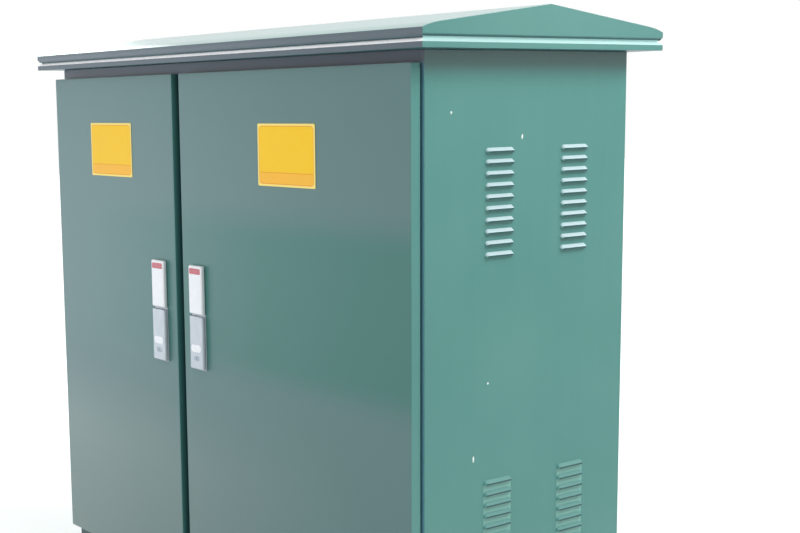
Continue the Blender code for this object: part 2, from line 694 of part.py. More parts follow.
def build_door_hinges(word, side, axis):
    """Moving hinge halves: a leaf behind the door's face, two ears and the pin."""
    leaf_front = DOOR_FACE_Y + SHEET + GAP
    leaf_rear = leaf_front + SHEET
    for number, z in enumerate(hinge_heights(), 1):
        bm = bmesh.new()
        add_box(bm, (side * (HINGE_X - DOOR_LEAF_INNER), side * (HINGE_X + DOOR_LEAF_OUTER)),
                (leaf_front, leaf_rear), (z - DOOR_LEAF_HALF, z + DOOR_LEAF_HALF))
        name = "door_%s_hinge_%d" % (word, number)
        hinge = add_object(name, bm, ZINC, (side * HINGE_X, HINGE_Y, 0), axis)
        bm = bmesh.new()
        ear_low = HINGE_HEIGHT / 2 + GAP
        for up in (-1, 1):
            outline = round_tab(leaf_rear - SHEET / 2 - HINGE_Y, EAR_RADIUS)
            add_prism(bm, outline, (z + up * ear_low, z + up * DOOR_LEAF_HALF),
                      lambda u, v, w: (side * HINGE_X + u, HINGE_Y + v, w))
        boolean(hinge, add_tool(name + "_ears", bm), "UNION")
        bm = bmesh.new()
        add_cylinder(bm, PIN_RADIUS, (side * HINGE_X, HINGE_Y, z), (0, 0, 1),
                     2 * (ear_low + PIN_END), 16)
        boolean(hinge, add_tool(name + "_pin", bm), "UNION")
        smooth(hinge)


def build_sign(word, side, axis):
    x = SIGN_X[word]
    bm = bmesh.new()
    add_box(bm, (x - SIGN_WIDTH / 2, x + SIGN_WIDTH / 2),
            (DOOR_FACE_Y - GAP - SIGN_THICKNESS, DOOR_FACE_Y - GAP),
            (SIGN_Z - SIGN_HEIGHT / 2, SIGN_Z + SIGN_HEIGHT / 2))
    corners = [e for e in bm.edges if abs(e.verts[0].co.y - e.verts[1].co.y) > GAP]
    bmesh.ops.bevel(bm, geom=corners, offset=SIGN_CORNER, segments=3, profile=0.5, affect="EDGES")
    add_object("door_%s_sign_plate" % word, bm, SIGN_YELLOW, (side * HINGE_X, HINGE_Y, 0), axis)


def build_doors():
    for word, side in SIDES.items():
        axis = bpy.data.objects.new("door_%s_axis" % word, None)
        bpy.context.collection.objects.link(axis)
        axis.location = (side * HINGE_X, HINGE_Y, 0)
        build_door_pan(word, side, axis)
        build_door_stiffener(word, side, axis)
        build_door_hinges(word, side, axis)
        build_lock(word, side, axis)
        build_sign(word, side, axis)


clear_scene()
build_plinth_and_floor()
build_frame()
build_side_panels()
build_rear_panels()
build_roof()
build_roof_trusses()
build_hinge_brackets()
build_doors()
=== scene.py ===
import math

import bmesh
import bpy
from mathutils import Matrix, Vector


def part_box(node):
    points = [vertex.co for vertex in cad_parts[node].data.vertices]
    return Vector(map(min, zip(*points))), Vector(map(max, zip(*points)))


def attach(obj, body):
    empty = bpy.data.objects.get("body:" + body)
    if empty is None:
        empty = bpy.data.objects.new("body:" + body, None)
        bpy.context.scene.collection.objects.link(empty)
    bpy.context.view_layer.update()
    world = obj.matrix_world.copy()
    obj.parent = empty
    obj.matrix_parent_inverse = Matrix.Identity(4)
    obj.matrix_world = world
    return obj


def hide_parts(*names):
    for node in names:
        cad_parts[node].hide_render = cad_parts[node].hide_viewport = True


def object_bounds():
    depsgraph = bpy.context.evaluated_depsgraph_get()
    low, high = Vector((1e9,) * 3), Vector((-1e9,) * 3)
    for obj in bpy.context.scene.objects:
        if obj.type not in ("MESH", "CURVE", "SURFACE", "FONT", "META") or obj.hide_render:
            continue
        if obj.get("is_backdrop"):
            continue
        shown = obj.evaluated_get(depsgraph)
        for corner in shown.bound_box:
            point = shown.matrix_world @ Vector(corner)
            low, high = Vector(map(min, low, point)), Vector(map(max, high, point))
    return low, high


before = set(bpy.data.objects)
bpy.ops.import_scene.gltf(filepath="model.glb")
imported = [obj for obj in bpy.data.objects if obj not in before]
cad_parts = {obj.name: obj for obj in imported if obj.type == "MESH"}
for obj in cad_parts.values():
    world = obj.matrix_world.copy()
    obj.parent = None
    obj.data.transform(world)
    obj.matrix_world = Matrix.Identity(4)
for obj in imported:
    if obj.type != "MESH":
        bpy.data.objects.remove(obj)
cad_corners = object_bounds()

# The camera stands where a standing person would, off the cabinet's front
# right corner, and looks slightly down. Its place and angles are those at
# which the model's straight edges meet the photograph's.
CAMERA_PLACE = (3.850, -2.949, 1.742)
CAMERA_ANGLES = (81.35, 0.88, 53.80)
CAMERA_SENSOR = 36.0
CAMERA_LENS = 64.0
CAMERA_SHIFT = (0.149, 0.067)

camera_data = bpy.data.cameras.new("photo_camera")
camera_data.sensor_width = CAMERA_SENSOR
camera_data.lens = CAMERA_LENS
camera_data.shift_x, camera_data.shift_y = CAMERA_SHIFT
camera = bpy.data.objects.new("photo_camera", camera_data)
bpy.context.collection.objects.link(camera)
camera.location = CAMERA_PLACE
camera.rotation_euler = [math.radians(angle) for angle in CAMERA_ANGLES]
bpy.context.scene.camera = camera


# The stage is a studio floor of pale vinyl under a white surround. Soft lamps
# stand above and around it, at levels at which every wall shows its colour about
# as it is written. The one low on the left is what the satin doors mirror.
FLOOR_SIZE = 60.0
FLOOR_DROP = 0.0005
FLOOR_COLOUR = "#ecedeb"
FLOOR_ROUGHNESS = 0.9
# The floor glows at these strengths at these distances from the cabinet.
FLOOR_SEEN_NEAR = (2.0, 0.27)
FLOOR_SEEN_FAR = (9.0, 1.0)
SURROUND_COLOUR = "#ffffff"
AMBIENT_STRENGTH = 0.32
LAMP_AIM = (0.0, 0.0, 1.0)
# Each lamp has its place, its width and height, its watts and its colour.
LAMPS = {
    "overhead_lamp": ((-1.0, 0.2, 5.6), (3.0, 2.4), 12.0, "#fffdf8"),
    "front_sky_lamp": ((0.2, -2.6, 5.6), (3.0, 1.6), 62.0, "#fbfaff"),
    "door_lamp": ((0.2, -4.8, 1.5), (2.4, 2.0), 51.0, "#fbfaff"),
    "door_sheen_lamp": ((-4.1, -2.4, 0.9), (1.6, 2.2), 20.0, "#e0f0ff"),
    "right_lamp": ((4.3, 0.5, 4.8), (2.6, 2.0), 135.0, "#f6fffe"),
    "louvre_lamp": ((2.8, 3.6, 4.6), (1.3, 1.3), 90.0, "#ffffff"),
    "left_lamp": ((-5.2, 0.6, 2.6), (2.8, 2.0), 78.0, "#f6fffe"),
    "rear_lamp": ((-0.4, 5.4, 2.6), (3.0, 2.0), 92.0, "#ffffff"),
}


def linear(hex_colour):
    """Turn an sRGB hex colour to linear red, green, blue and alpha."""
    channels = [int(hex_colour[i:i + 2], 16) / 255 for i in (1, 3, 5)]
    return [c / 12.92 if c <= 0.04045 else ((c + 0.055) / 1.055) ** 2.4 for c in channels] + [1.0]


def feed(node, inputs):
    """Set sockets to values, or link them to sockets or to nodes' first live outputs."""
    for socket, value in inputs.items():
        if isinstance(value, bpy.types.Node):
            value = next(output for output in value.outputs if output.enabled)
        if isinstance(value, bpy.types.NodeSocket):
            node.id_data.links.new(value, node.inputs[socket])
        else:
            node.inputs[socket].default_value = value


def add_node(tree, kind, inputs=None, **settings):
    """Add a node with its settings, and feed its inputs."""
    node = tree.nodes.new(kind)
    for name, value in settings.items():
        setattr(node, name, value)
    feed(node, inputs or {})
    return node


def new_material(name, inputs):
    """A material, its tree and its Principled shader, whose inputs are set."""
    material = bpy.data.materials.new(name)
    material.use_nodes = True
    shader = material.node_tree.nodes["Principled BSDF"]
    feed(shader, inputs)
    return material, material.node_tree, shader


def new_piece(name, bm, material):
    """Put a bmesh into the scene as a piece whose place is in its mesh."""
    mesh = bpy.data.meshes.new(name)
    bm.to_mesh(mesh)
    bm.free()
    mesh.materials.append(material)
    piece = bpy.data.objects.new(name, mesh)
    bpy.context.collection.objects.link(piece)
    return piece


# Matt vinyl gives an even pale ground without a sheen. Seen by the camera or in
# gloss it glows whiter with distance, so that it meets the surround unseen.
matt_vinyl, tree, shader = new_material("matt_vinyl", {
    "Base Color": linear(FLOOR_COLOUR), "Roughness": FLOOR_ROUGHNESS,
    "Emission Color": linear(SURROUND_COLOUR)})
rays = add_node(tree, "ShaderNodeLightPath").outputs
seen = add_node(tree, "ShaderNodeMath", {
    0: rays["Is Camera Ray"], 1: rays["Is Glossy Ray"]}, operation="MAXIMUM")
place = add_node(tree, "ShaderNodeTexCoord").outputs["Object"]
away = add_node(tree, "ShaderNodeVectorMath", {0: place}, operation="LENGTH")
haze = add_node(tree, "ShaderNodeMapRange", {
    "Value": away, "From Min": FLOOR_SEEN_NEAR[0], "From Max": FLOOR_SEEN_FAR[0],
    "To Min": FLOOR_SEEN_NEAR[1], "To Max": FLOOR_SEEN_FAR[1]})
glow = add_node(tree, "ShaderNodeMath", {0: seen, 1: haze}, operation="MULTIPLY")
feed(shader, {"Emission Strength": glow})

bm = bmesh.new()
bmesh.ops.create_grid(bm, x_segments=1, y_segments=1, size=FLOOR_SIZE / 2)
bmesh.ops.translate(bm, verts=bm.verts, vec=(0, 0, -FLOOR_DROP))
floor = new_piece("studio_floor", bm, matt_vinyl)
floor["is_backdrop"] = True

world = bpy.data.worlds.new("studio_surround")
world.use_nodes = True
bpy.context.scene.world = world
rays = add_node(world.node_tree, "ShaderNodeLightPath").outputs
mirrored = add_node(world.node_tree, "ShaderNodeMath", {
    0: rays["Is Glossy Ray"], 1: rays["Is Transmission Ray"]}, operation="MAXIMUM")
seen = add_node(world.node_tree, "ShaderNodeMath", {
    0: rays["Is Camera Ray"], 1: mirrored}, operation="MAXIMUM")
level = add_node(world.node_tree, "ShaderNodeMapRange", {
    "Value": seen, "To Min": AMBIENT_STRENGTH, "To Max": 1.0})
feed(world.node_tree.nodes["Background"], {"Color": linear(SURROUND_COLOUR), "Strength": level})

for name, (spot, size, power, colour) in LAMPS.items():
    lamp_data = bpy.data.lights.new(name, "AREA")
    lamp_data.shape = "RECTANGLE"
    lamp_data.size, lamp_data.size_y = size
    lamp_data.energy = power
    lamp_data.color = linear(colour)[:3]
    lamp = bpy.data.objects.new(name, lamp_data)
    bpy.context.collection.objects.link(lamp)
    lamp.location = spot
    lamp.rotation_euler = (Vector(LAMP_AIM) - Vector(spot)).to_track_quat("-Z", "Y").to_euler()

bpy.context.scene.view_settings.view_transform = "Standard"


# The plinth is a ring of folded steel channel, mitred and welded at its corners.
# It is powder coated darker than the walls, partly as painted shade, and stands
# on its lower flange, and the whole cabinet is screwed down on top of it.
HALF_WIDTH = 1.010
HALF_DEPTH = 0.400
PLINTH_TOP = 0.100
PLINTH_FLANGE = 0.048
PLINTH_WALL = 0.0053
PLINTH_BEND = 0.004
FRAME_COLOUR = "#254346"
FRAME_FADED = "#2c4b4d"
DUST_COLOUR = "#e6efed"
COAT_IOR = 1.5
COAT_ROUGHNESS = 0.40
CLOUDS_PER_METRE = 1.3
RAIN_STREAKS_PER_METRE = (24.0, 24.0, 0.7)
STREAK_SHARE = 0.12
FADING_RANGE = (0.33, 0.67)
FRONT_LIGHT_FACES = (-0.6, -0.95)
LEVEL_FACES = (0.35, 0.9)
DUST_BLOTCHES_PER_METRE = 22.0
BLOTCH_RANGE = (0.3, 0.7)
DUST_THICKNESS = (0.6, 0.9)
DUST_MATTING = 0.3
ORANGE_PEEL_PER_METRE = 110.0
ORANGE_PEEL_DEPTH = 0.00004
ORANGE_PEEL_STRENGTH = 0.5
FOLD_ANGLE = 30
SHARP_ANGLE = 35


def powder_coat(name, colour, faded, front_light_and_chalk, dust_colour=DUST_COLOUR, front=FRONT_LIGHT_FACES, film=None):
    """Polyester powder coat, with a front colour for chalk and painted light, and dust where it lies flat.

    It gives a satin, slightly pebbled skin with faint clouds and rain streaks. Its
    orange peel is about 3 mm across on the real one and is drawn at 9 mm, so that
    it shows at the size of the render. A film is a clear gloss over all of it.
    """
    material, tree, shader = new_material(name, {"IOR": COAT_IOR, **(film or {})})
    drawn = add_node(tree, "ShaderNodeTexCoord").outputs
    place = drawn["Object"]
    facing = add_node(tree, "ShaderNodeSeparateXYZ", {0: drawn["Normal"]}).outputs
    clouds = add_node(tree, "ShaderNodeTexNoise", {
        "Vector": place, "Scale": CLOUDS_PER_METRE, "Detail": 2.0})
    stretched = add_node(tree, "ShaderNodeMapping", {"Vector": place, "Scale": RAIN_STREAKS_PER_METRE})
    streaks = add_node(tree, "ShaderNodeTexNoise", {"Vector": stretched, "Scale": 1.0, "Detail": 3.0})
    wear = add_node(tree, "ShaderNodeMix", {0: STREAK_SHARE, 2: clouds, 3: streaks}, data_type="FLOAT")
    fading = add_node(tree, "ShaderNodeMapRange", {
        "Value": wear, "From Min": FADING_RANGE[0], "From Max": FADING_RANGE[1]})
    paint = add_node(tree, "ShaderNodeMix", {
        0: fading, 6: linear(colour), 7: linear(faded)}, data_type="RGBA")
    # On front faces the front colour is laid. On several coats it is painted shade and painted sky sheen as
    # well as chalk.
    frontal = add_node(tree, "ShaderNodeMapRange", {
        "Value": facing["Y"], "From Min": front[0], "From Max": front[1]})
    coat = add_node(tree, "ShaderNodeMix", {0: frontal, 6: paint, 7: linear(front_light_and_chalk)}, data_type="RGBA")

    lying = add_node(tree, "ShaderNodeMapRange", {
        "Value": facing["Z"], "From Min": LEVEL_FACES[0], "From Max": LEVEL_FACES[1]})
    blotches = add_node(tree, "ShaderNodeTexNoise", {
        "Vector": place, "Scale": DUST_BLOTCHES_PER_METRE, "Detail": 5.0})
    thin = add_node(tree, "ShaderNodeMapRange", {
        "Value": blotches, "From Min": BLOTCH_RANGE[0], "From Max": BLOTCH_RANGE[1],
        "To Min": DUST_THICKNESS[0], "To Max": DUST_THICKNESS[1]})
    dust = add_node(tree, "ShaderNodeMath", {0: lying, 1: thin}, operation="MULTIPLY")
    surface = add_node(tree, "ShaderNodeMix", {
        0: dust, 6: coat, 7: linear(dust_colour)}, data_type="RGBA")
    matt = add_node(tree, "ShaderNodeMath", {
        0: dust, 1: DUST_MATTING, 2: COAT_ROUGHNESS}, operation="MULTIPLY_ADD")
    peel = add_node(tree, "ShaderNodeTexNoise", {
        "Vector": place, "Scale": ORANGE_PEEL_PER_METRE, "Detail": 2.0})
    bump = add_node(tree, "ShaderNodeBump", {
        "Strength": ORANGE_PEEL_STRENGTH, "Distance": ORANGE_PEEL_DEPTH, "Height": peel})
    feed(shader, {"Base Color": surface, "Roughness": matt, "Normal": bump})
    return material


def bake(piece):
    """Turn a piece's live modifiers into plain mesh."""
    graph = bpy.context.evaluated_depsgraph_get()
    mesh = bpy.data.meshes.new_from_object(piece.evaluated_get(graph))
    piece.modifiers.clear()
    drawn = piece.data
    piece.data = mesh
    bpy.data.meshes.remove(drawn)


def smooth(piece, angle=SHARP_ANGLE):
    """Shade a piece smooth but for its sharp edges."""
    piece.data.shade_smooth()
    piece.data.set_sharp_from_angle(angle=math.radians(angle))


def soften(piece, radius, sheet=0.0, segments=3, limit="ANGLE", even=True, sharp=SHARP_ANGLE):
    """Round the folds or cast edges, give a sheet its thickness, and shade flats flat."""
    rounding = piece.modifiers.new("edge_radius", "BEVEL")
    rounding.width = radius
    rounding.segments = segments
    rounding.limit_method = limit
    rounding.angle_limit = math.radians(FOLD_ANGLE)
    if sheet:
        wall = piece.modifiers.new("sheet_thickness", "SOLIDIFY")
        wall.thickness = sheet
        wall.offset = -1.0
        wall.use_even_offset = even
    bake(piece)
    smooth(piece, sharp)
    flats = piece.modifiers.new("flat_shading", "WEIGHTED_NORMAL")
    flats.keep_sharp = True
    bake(piece)


def fit(piece, body, slot, *nodes):
    """Let a piece ride on its body in place of CAD nodes. The slot is not used."""
    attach(piece, body)
    if nodes:
        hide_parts(*nodes)


def make_piece(name, bm, material, radius, body, slot, *nodes, **edges):
    """Put a bmesh into the scene, soften its edges and fit it to its body."""
    piece = new_piece(name, bm, material)
    soften(piece, radius, **edges)
    fit(piece, body, slot, *nodes)
    return piece


def join_rims(bm, one, other):
    """Join two closed rims of vertices with a band of faces."""
    return [bm.faces.new(corners) for corners in zip(
        one, other, other[1:] + other[:1], one[1:] + one[:1])]


def mitred_ring(section, half_width, front, rear):
    """Sweep a closed (inset, height) section round a mitred rectangle."""
    bm = bmesh.new()
    mitres = []
    for side, y, inward in ((-1, front, 1), (1, front, 1), (1, rear, -1), (-1, rear, -1)):
        mitres.append([
            bm.verts.new((side * (half_width - inset), y + inward * inset, height))
            for inset, height in section])
    for here, after in zip(mitres, mitres[1:] + mitres[:1]):
        join_rims(bm, here, after)
    bmesh.ops.recalc_face_normals(bm, faces=bm.faces)
    return bm


def channel(depth, wall, bottom, top):
    """The section of a channel that opens inwards."""
    return [
        (0, bottom), (depth, bottom), (depth, bottom + wall), (wall, bottom + wall),
        (wall, top - wall), (depth, top - wall), (depth, top), (0, top)]


# The steelwork's coat is a deep, quiet teal, darker than the walls partly as painted shade.
frame_coat = powder_coat("dark_teal_powder_coat", FRAME_COLOUR, FRAME_FADED, FRAME_FADED)
plinth_section = channel(PLINTH_FLANGE, PLINTH_WALL, 0, PLINTH_TOP)
make_piece("plinth_channel", mitred_ring(plinth_section, HALF_WIDTH, -HALF_DEPTH, HALF_DEPTH),
           frame_coat, PLINTH_BEND, "cabinet", "frame_paint", "base_frame")


# The floor is one plate of hot-dip galvanised steel, laid between the bottom
# rails. The zinc froze in flat crystals, the spangle, which gives it patches of
# lighter and darker grey about 20 mm across.
SPANGLE_PER_METRE = 48.0
SPANGLE_DARK = "#8b9094"
SPANGLE_LIGHT = "#b4b9bc"
SPANGLE_ROUGHNESS = (0.38, 0.58)

galvanised_steel, tree, shader = new_material("galvanised_steel", {"Metallic": 1.0})
place = add_node(tree, "ShaderNodeTexCoord").outputs["Object"]
crystals = add_node(tree, "ShaderNodeTexVoronoi", {
    "Vector": place, "Scale": SPANGLE_PER_METRE}, feature="F1")
grain = add_node(tree, "ShaderNodeSeparateColor", {0: crystals.outputs["Color"]}).outputs
zinc_skin = add_node(tree, "ShaderNodeMix", {
    0: grain["Red"], 6: linear(SPANGLE_DARK), 7: linear(SPANGLE_LIGHT)}, data_type="RGBA")
lustre = add_node(tree, "ShaderNodeMapRange", {
    "Value": grain["Green"], "To Min": SPANGLE_ROUGHNESS[0], "To Max": SPANGLE_ROUGHNESS[1]})
feed(shader, {"Base Color": zinc_skin, "Roughness": lustre})


def finish_nodes(material, *nodes):
    """Give CAD nodes whose shape is right the material of the real part."""
    for node in nodes:
        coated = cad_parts[node].data.materials
        coated.clear()
        coated.append(material)


finish_nodes(galvanised_steel, "floor_plate")


# The frame is two channel rails joined by square tube posts and two wider
# mullions. All of it is mild steel, welded and powder coated with the plinth,
# and its rounded tube corners show once the doors stand open.
RAIL_DEPTH = 0.050
RAIL_WALL = 0.003
RAIL_BEND = 0.0025
RAIL_FRONT_SHADE = "#434d59"
TUBE_CORNER = 0.005

# On their front faces the rails get a flat slate grey, painted shade under the eave.
rail_coat = powder_coat("front_shaded_rail_powder_coat", FRAME_COLOUR, FRAME_FADED, RAIL_FRONT_SHADE)
for name in ("bottom_frame", "top_frame"):
    low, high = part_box(name)
    bm = mitred_ring(channel(RAIL_DEPTH, RAIL_WALL, low[2], high[2]), high[0], low[1], high[1])
    make_piece(name.replace("frame", "rail"), bm, rail_coat, RAIL_BEND, "cabinet", "frame_paint", name)

for name in ("post_front_left", "post_front_right", "post_rear_left", "post_rear_right",
             "front_mullion", "rear_mullion"):
    low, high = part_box(name)
    bm = bmesh.new()
    rims = []
    for z in (low[2], high[2]):
        spots = ((low[0], low[1]), (high[0], low[1]), (high[0], high[1]), (low[0], high[1]))
        rims.append([bm.verts.new((x, y, z)) for x, y in spots])
    join_rims(bm, rims[1], rims[0])
    make_piece(name + "_tube", bm, frame_coat, TUBE_CORNER, "cabinet", "frame_paint", name,
               sheet=RAIL_WALL, segments=4)


# The roof rests on three flat gable frames, cut from plate and stood on the top
# rails, and on a shallow folded rail along the ridge. They are coated as the
# frame is.
finish_nodes(frame_coat, "roof_truss_left", "roof_truss_centre", "roof_truss_right", "roof_ridge_rail")


# Each end is one sheet of 2 mm steel with four folded edges, in satin teal
# powder coat. Four groups of ten louvres are pressed out of it: each hood is cut
# free along its lower lip and drawn out of the sheet along its other sides.
SHEET = 0.002
PANEL_FOLD = 0.020
PANEL_BEND = 0.003
PANEL_COLOUR = "#4f8c86"
PANEL_FADED = "#5d968f"
PANEL_FOLD_LIGHT = "#6eaabd"
PANEL_FOLD_FACES = (-0.95, -0.99)
PRIMER_COLOUR = "#f2f6f4"
# Each chip is given by where it lies on the right end, and by its half height.
CHIPS = (((-0.3043, 1.7116), 0.0042), ((-0.0344, 1.6408), 0.0068),
         ((-0.1619, 0.9532), 0.0032), ((-0.2166, 0.742), 0.0082))
CHIP_WIDTH = 0.0033
CHIP_RAGS_PER_METRE = 160.0
CHIP_RAG_FLOOR = 0.5
EVEN, SOFT = "LINEAR", "SMOOTHSTEP"
CRISP = 0.0001
EAVE_SHADE = "#6c5d65"
EAVE_SHADE_HEIGHTS = (1.790, 1.876)
EAVE_SHADE_SHARE = 0.5
FRONT_FOLD_SHADE_TURN = (0.5, 0.1)
LINTEL_SHADE_LEVELS = (1.838, 1.850)
LOWER_FIELD_LIGHT = "#8cc4b9"
LOWER_FIELD_LIGHT_SHARE = 0.7
HOOD_HIGHLIGHT = "#c2d8dd"
HOOD_HIGHLIGHT_TURN = (0.88, 0.58)
HOOD_HIGHLIGHT_HEIGHTS = (0.9, 1.25)
LIP_SHADE = "#12484a"
LIP_SHADE_TURN = (0.84, 0.95)
LIP_SHADE_SHARE = 0.9
LOUVRE_LENGTH = 0.108
LOUVRE_HEIGHT = 0.014
LOUVRE_PROUD = 0.009
LOUVRE_SUNK = 0.0003
LOUVRE_SHEET = 0.0014
LOUVRE_END = 0.007
LOUVRE_CORNER = 0.010
LOUVRE_CORNER_DROP = 0.8
LOUVRE_SWELL = 1.2
LOUVRE_CELLS = (22, 6)
LIP_SHARE = 0.3333
LOUVRE_PITCH = 0.0321
LOUVRE_ROWS = 10
LOUVRE_COLUMNS = (-0.122, 0.178)
LOUVRE_BASES = (0.370, 1.3111)
SLOT_END_MARGIN = 0.008
SLOT_SHARE = 0.8


def folded_tray(u_lines, v_lines, openings, depth, place, lip=0.0):
    """A sheet folded back on all four sides; place(u, v, w) is a point w behind its face.

    The sheet is drawn as a grid of cells, so that an opening is a cell left out.
    With a lip, every fold but the one at the lowest u turns in again.
    """
    bm = bmesh.new()
    face = [[bm.verts.new(place(u, v, 0)) for v in v_lines] for u in u_lines]
    for i in range(len(u_lines) - 1):
        for j in range(len(v_lines) - 1):
            if (i, j) not in openings:
                bm.faces.new((face[i][j], face[i + 1][j], face[i + 1][j + 1], face[i][j + 1]))
    last_u = len(u_lines) - 1
    last_v = len(v_lines) - 1
    border = [(i, 0) for i in range(last_u)] + [(last_u, j) for j in range(last_v)]
    border += [(i, last_v) for i in range(last_u, 0, -1)] + [(0, j) for j in range(last_v, 0, -1)]
    back = {(i, j): bm.verts.new(place(u_lines[i], v_lines[j], depth)) for i, j in border}
    for here, after in zip(border, border[1:] + border[:1]):
        bm.faces.new((face[here[0]][here[1]], face[after[0]][after[1]], back[after], back[here]))
    if lip:
        inner_u = u_lines[-1] - lip
        low_free, high_free = [
            bm.verts.new(place(inner_u, v, depth)) for v in (v_lines[1], v_lines[-2])]
        bottom = [back[i, 0] for i in range(last_u + 1)]
        top = [back[i, last_v] for i in range(last_u + 1)]
        bm.faces.new([back[0, 1], *bottom, low_free])
        bm.faces.new([back[0, last_v - 1], *top, high_free])
        bm.faces.new([low_free, *[back[last_u, j] for j in range(last_v + 1)], high_free])
    bmesh.ops.recalc_face_normals(bm, faces=bm.faces)
    front = next(f for f in bm.faces if all(v in face[0] or v in face[1] for v in f.verts))
    outward = Vector(place(0, 0, 0)) - Vector(place(0, 0, 1))
    if front.normal.dot(outward) < 0:
        bmesh.ops.reverse_faces(bm, faces=bm.faces)
    return bm


def new_rule(name, **inputs):
    """A Geometry Nodes tree with named inputs, their identifiers and their sockets."""
    tree = bpy.data.node_groups.new(name, "GeometryNodeTree")
    keys = {
        label: tree.interface.new_socket(label, in_out="INPUT", socket_type="NodeSocket" + kind).identifier
        for label, kind in inputs.items()}
    tree.interface.new_socket("Pieces", in_out="OUTPUT", socket_type="NodeSocketGeometry")
    return tree, keys, add_node(tree, "NodeGroupInput").outputs


def end_rule(tree, instances, material):
    """End a Geometry Nodes tree: real faces, in the material that it is given."""
    real = add_node(tree, "GeometryNodeRealizeInstances", {0: instances})
    dressed = add_node(tree, "GeometryNodeSetMaterial", {0: real, "Material": material})
    add_node(tree, "NodeGroupOutput", {0: dressed})


def follow_rule(piece, tree, keys, **values):
    """Give a piece a Geometry Nodes modifier, whose inputs are set by identifier."""
    rule = piece.modifiers.new(tree.name, "NODES")
    rule.node_group = tree
    for name, value in values.items():
        rule[keys[name]] = value


louvre_tree, louvre_keys, given = new_rule(
    "pressed_louvres", Start="Vector", Turn="Vector", Rows="Int", Length="Float", Height="Float",
    Proud="Float", Sunk="Float", End="Float", Corner="Float", Pitch="Float", ColumnGap="Float",
    GroupGap="Float", Paint="Material")
flat = add_node(louvre_tree, "GeometryNodeMeshGrid", {
    "Vertices X": LOUVRE_CELLS[0] + 1, "Vertices Y": LOUVRE_CELLS[1] + 1})
share = add_node(louvre_tree, "ShaderNodeSeparateXYZ", {
    0: add_node(louvre_tree, "GeometryNodeInputPosition")}).outputs
# Each line of sums names a result, how it is reckoned and from what. The first
# ones bunch the flat grid's columns at the ends and round the ends off, and the
# last ones draw the rows out from the sheet, furthest at the lip.
hood_sums = [
    ("angle", "MULTIPLY", "X", math.pi), ("swing", "SINE", "angle"),
    ("half length", "MULTIPLY", "Length", 0.5), ("along", "MULTIPLY", "swing", "half length"),
    ("from centre", "ABSOLUTE", "along")]
for end in ("End", "Corner"):
    hood_sums += [
        (end + " start", "SUBTRACT", "half length", end),
        (end + " depth", "SUBTRACT", "from centre", end + " start"),
        (end + " inside", "MAXIMUM", end + " depth", 0.0),
        (end + " share", "DIVIDE", end + " inside", end),
        (end + " square", "POWER", end + " share", 2.0),
        (end + " rest", "SUBTRACT", 1.0, end + " square"),
        (end + " round", "SQRT", end + " rest")]
hood_sums += [
    ("rise", "ADD", "Y", 0.5), ("past lip", "SUBTRACT", "rise", LIP_SHARE),
    ("over lip", "MAXIMUM", "past lip", 0.0), ("above lip", "DIVIDE", "over lip", 1 - LIP_SHARE),
    ("curve", "POWER", "above lip", LOUVRE_SWELL), ("fall", "SUBTRACT", 1.0, "curve"),
    ("swell", "MULTIPLY", "fall", "End round"), ("draw", "ADD", "Proud", "Sunk"),
    ("drawn out", "MULTIPLY", "swell", "draw"), ("out", "SUBTRACT", "drawn out", "Sunk"),
    ("corner", "MULTIPLY_ADD", "Corner round", LOUVRE_CORNER_DROP, 1 - LOUVRE_CORNER_DROP),
    ("tall", "MULTIPLY", "Height", "corner"), ("up", "MULTIPLY", "tall", "rise")]
known = {socket.name: socket for socket in [*given, share["X"], share["Y"]]}
for name, operation, *terms in hood_sums:
    known[name] = add_node(louvre_tree, "ShaderNodeMath", {
        index: known.get(term, term) for index, term in enumerate(terms)}, operation=operation)
shape = add_node(louvre_tree, "ShaderNodeCombineXYZ", {
    "X": known["out"], "Y": known["along"], "Z": known["up"]})
hood = add_node(louvre_tree, "GeometryNodeSetPosition", {"Geometry": flat, "Position": shape})

row_step = add_node(louvre_tree, "ShaderNodeCombineXYZ", {"Z": given["Pitch"]})
row = add_node(louvre_tree, "GeometryNodeMeshLine", {
    "Count": given["Rows"], "Start Location": given["Start"], "Offset": row_step})
hoods = add_node(louvre_tree, "GeometryNodeInstanceOnPoints", {
    "Points": row, "Instance": hood, "Rotation": given["Turn"]})
for axis, gap in (("Y", "ColumnGap"), ("Z", "GroupGap")):
    step = add_node(louvre_tree, "ShaderNodeCombineXYZ", {axis: given[gap]})
    line = add_node(louvre_tree, "GeometryNodeMeshLine", {"Count": 2, "Offset": step})
    hoods = add_node(louvre_tree, "GeometryNodeInstanceOnPoints", {"Points": line, "Instance": hoods})
end_rule(louvre_tree, hoods, given["Paint"])


def overlay(coat, colour, share):
    """Lay a second colour over a coat, as thick as share says."""
    skin = coat.node_tree.nodes["Principled BSDF"].inputs["Base Color"]
    laid = add_node(coat.node_tree, "ShaderNodeMix", {
        0: share, 6: skin.links[0].from_socket, 7: linear(colour)}, data_type="RGBA")
    feed(skin.node, {"Base Color": laid})


def lay_light_shade_and_wear(coat, colour, share, *ranges):
    """Lay a colour over a coat by place and facing, for painted light and shade and for wear.

    Each range names a reading, its axis and a mark, two distances from that mark
    and a ramp: the layer thickens from nothing to its full share between the two.
    """
    tree = coat.node_tree
    for source, axis, mark, start, full, ramp in ranges:
        drawn = add_node(tree, "ShaderNodeTexCoord").outputs[source]
        reading = add_node(tree, "ShaderNodeSeparateXYZ", {0: drawn}).outputs[axis]
        offset = add_node(tree, "ShaderNodeMath", {0: reading, 1: mark}, operation="SUBTRACT")
        distance = add_node(tree, "ShaderNodeMath", {0: offset}, operation="ABSOLUTE")
        rise = add_node(tree, "ShaderNodeMapRange", {
            "Value": distance, "From Min": start, "From Max": full}, interpolation_type=ramp)
        share = add_node(tree, "ShaderNodeMath", {0: share, 1: rise}, operation="MULTIPLY")
    overlay(coat, colour, share)
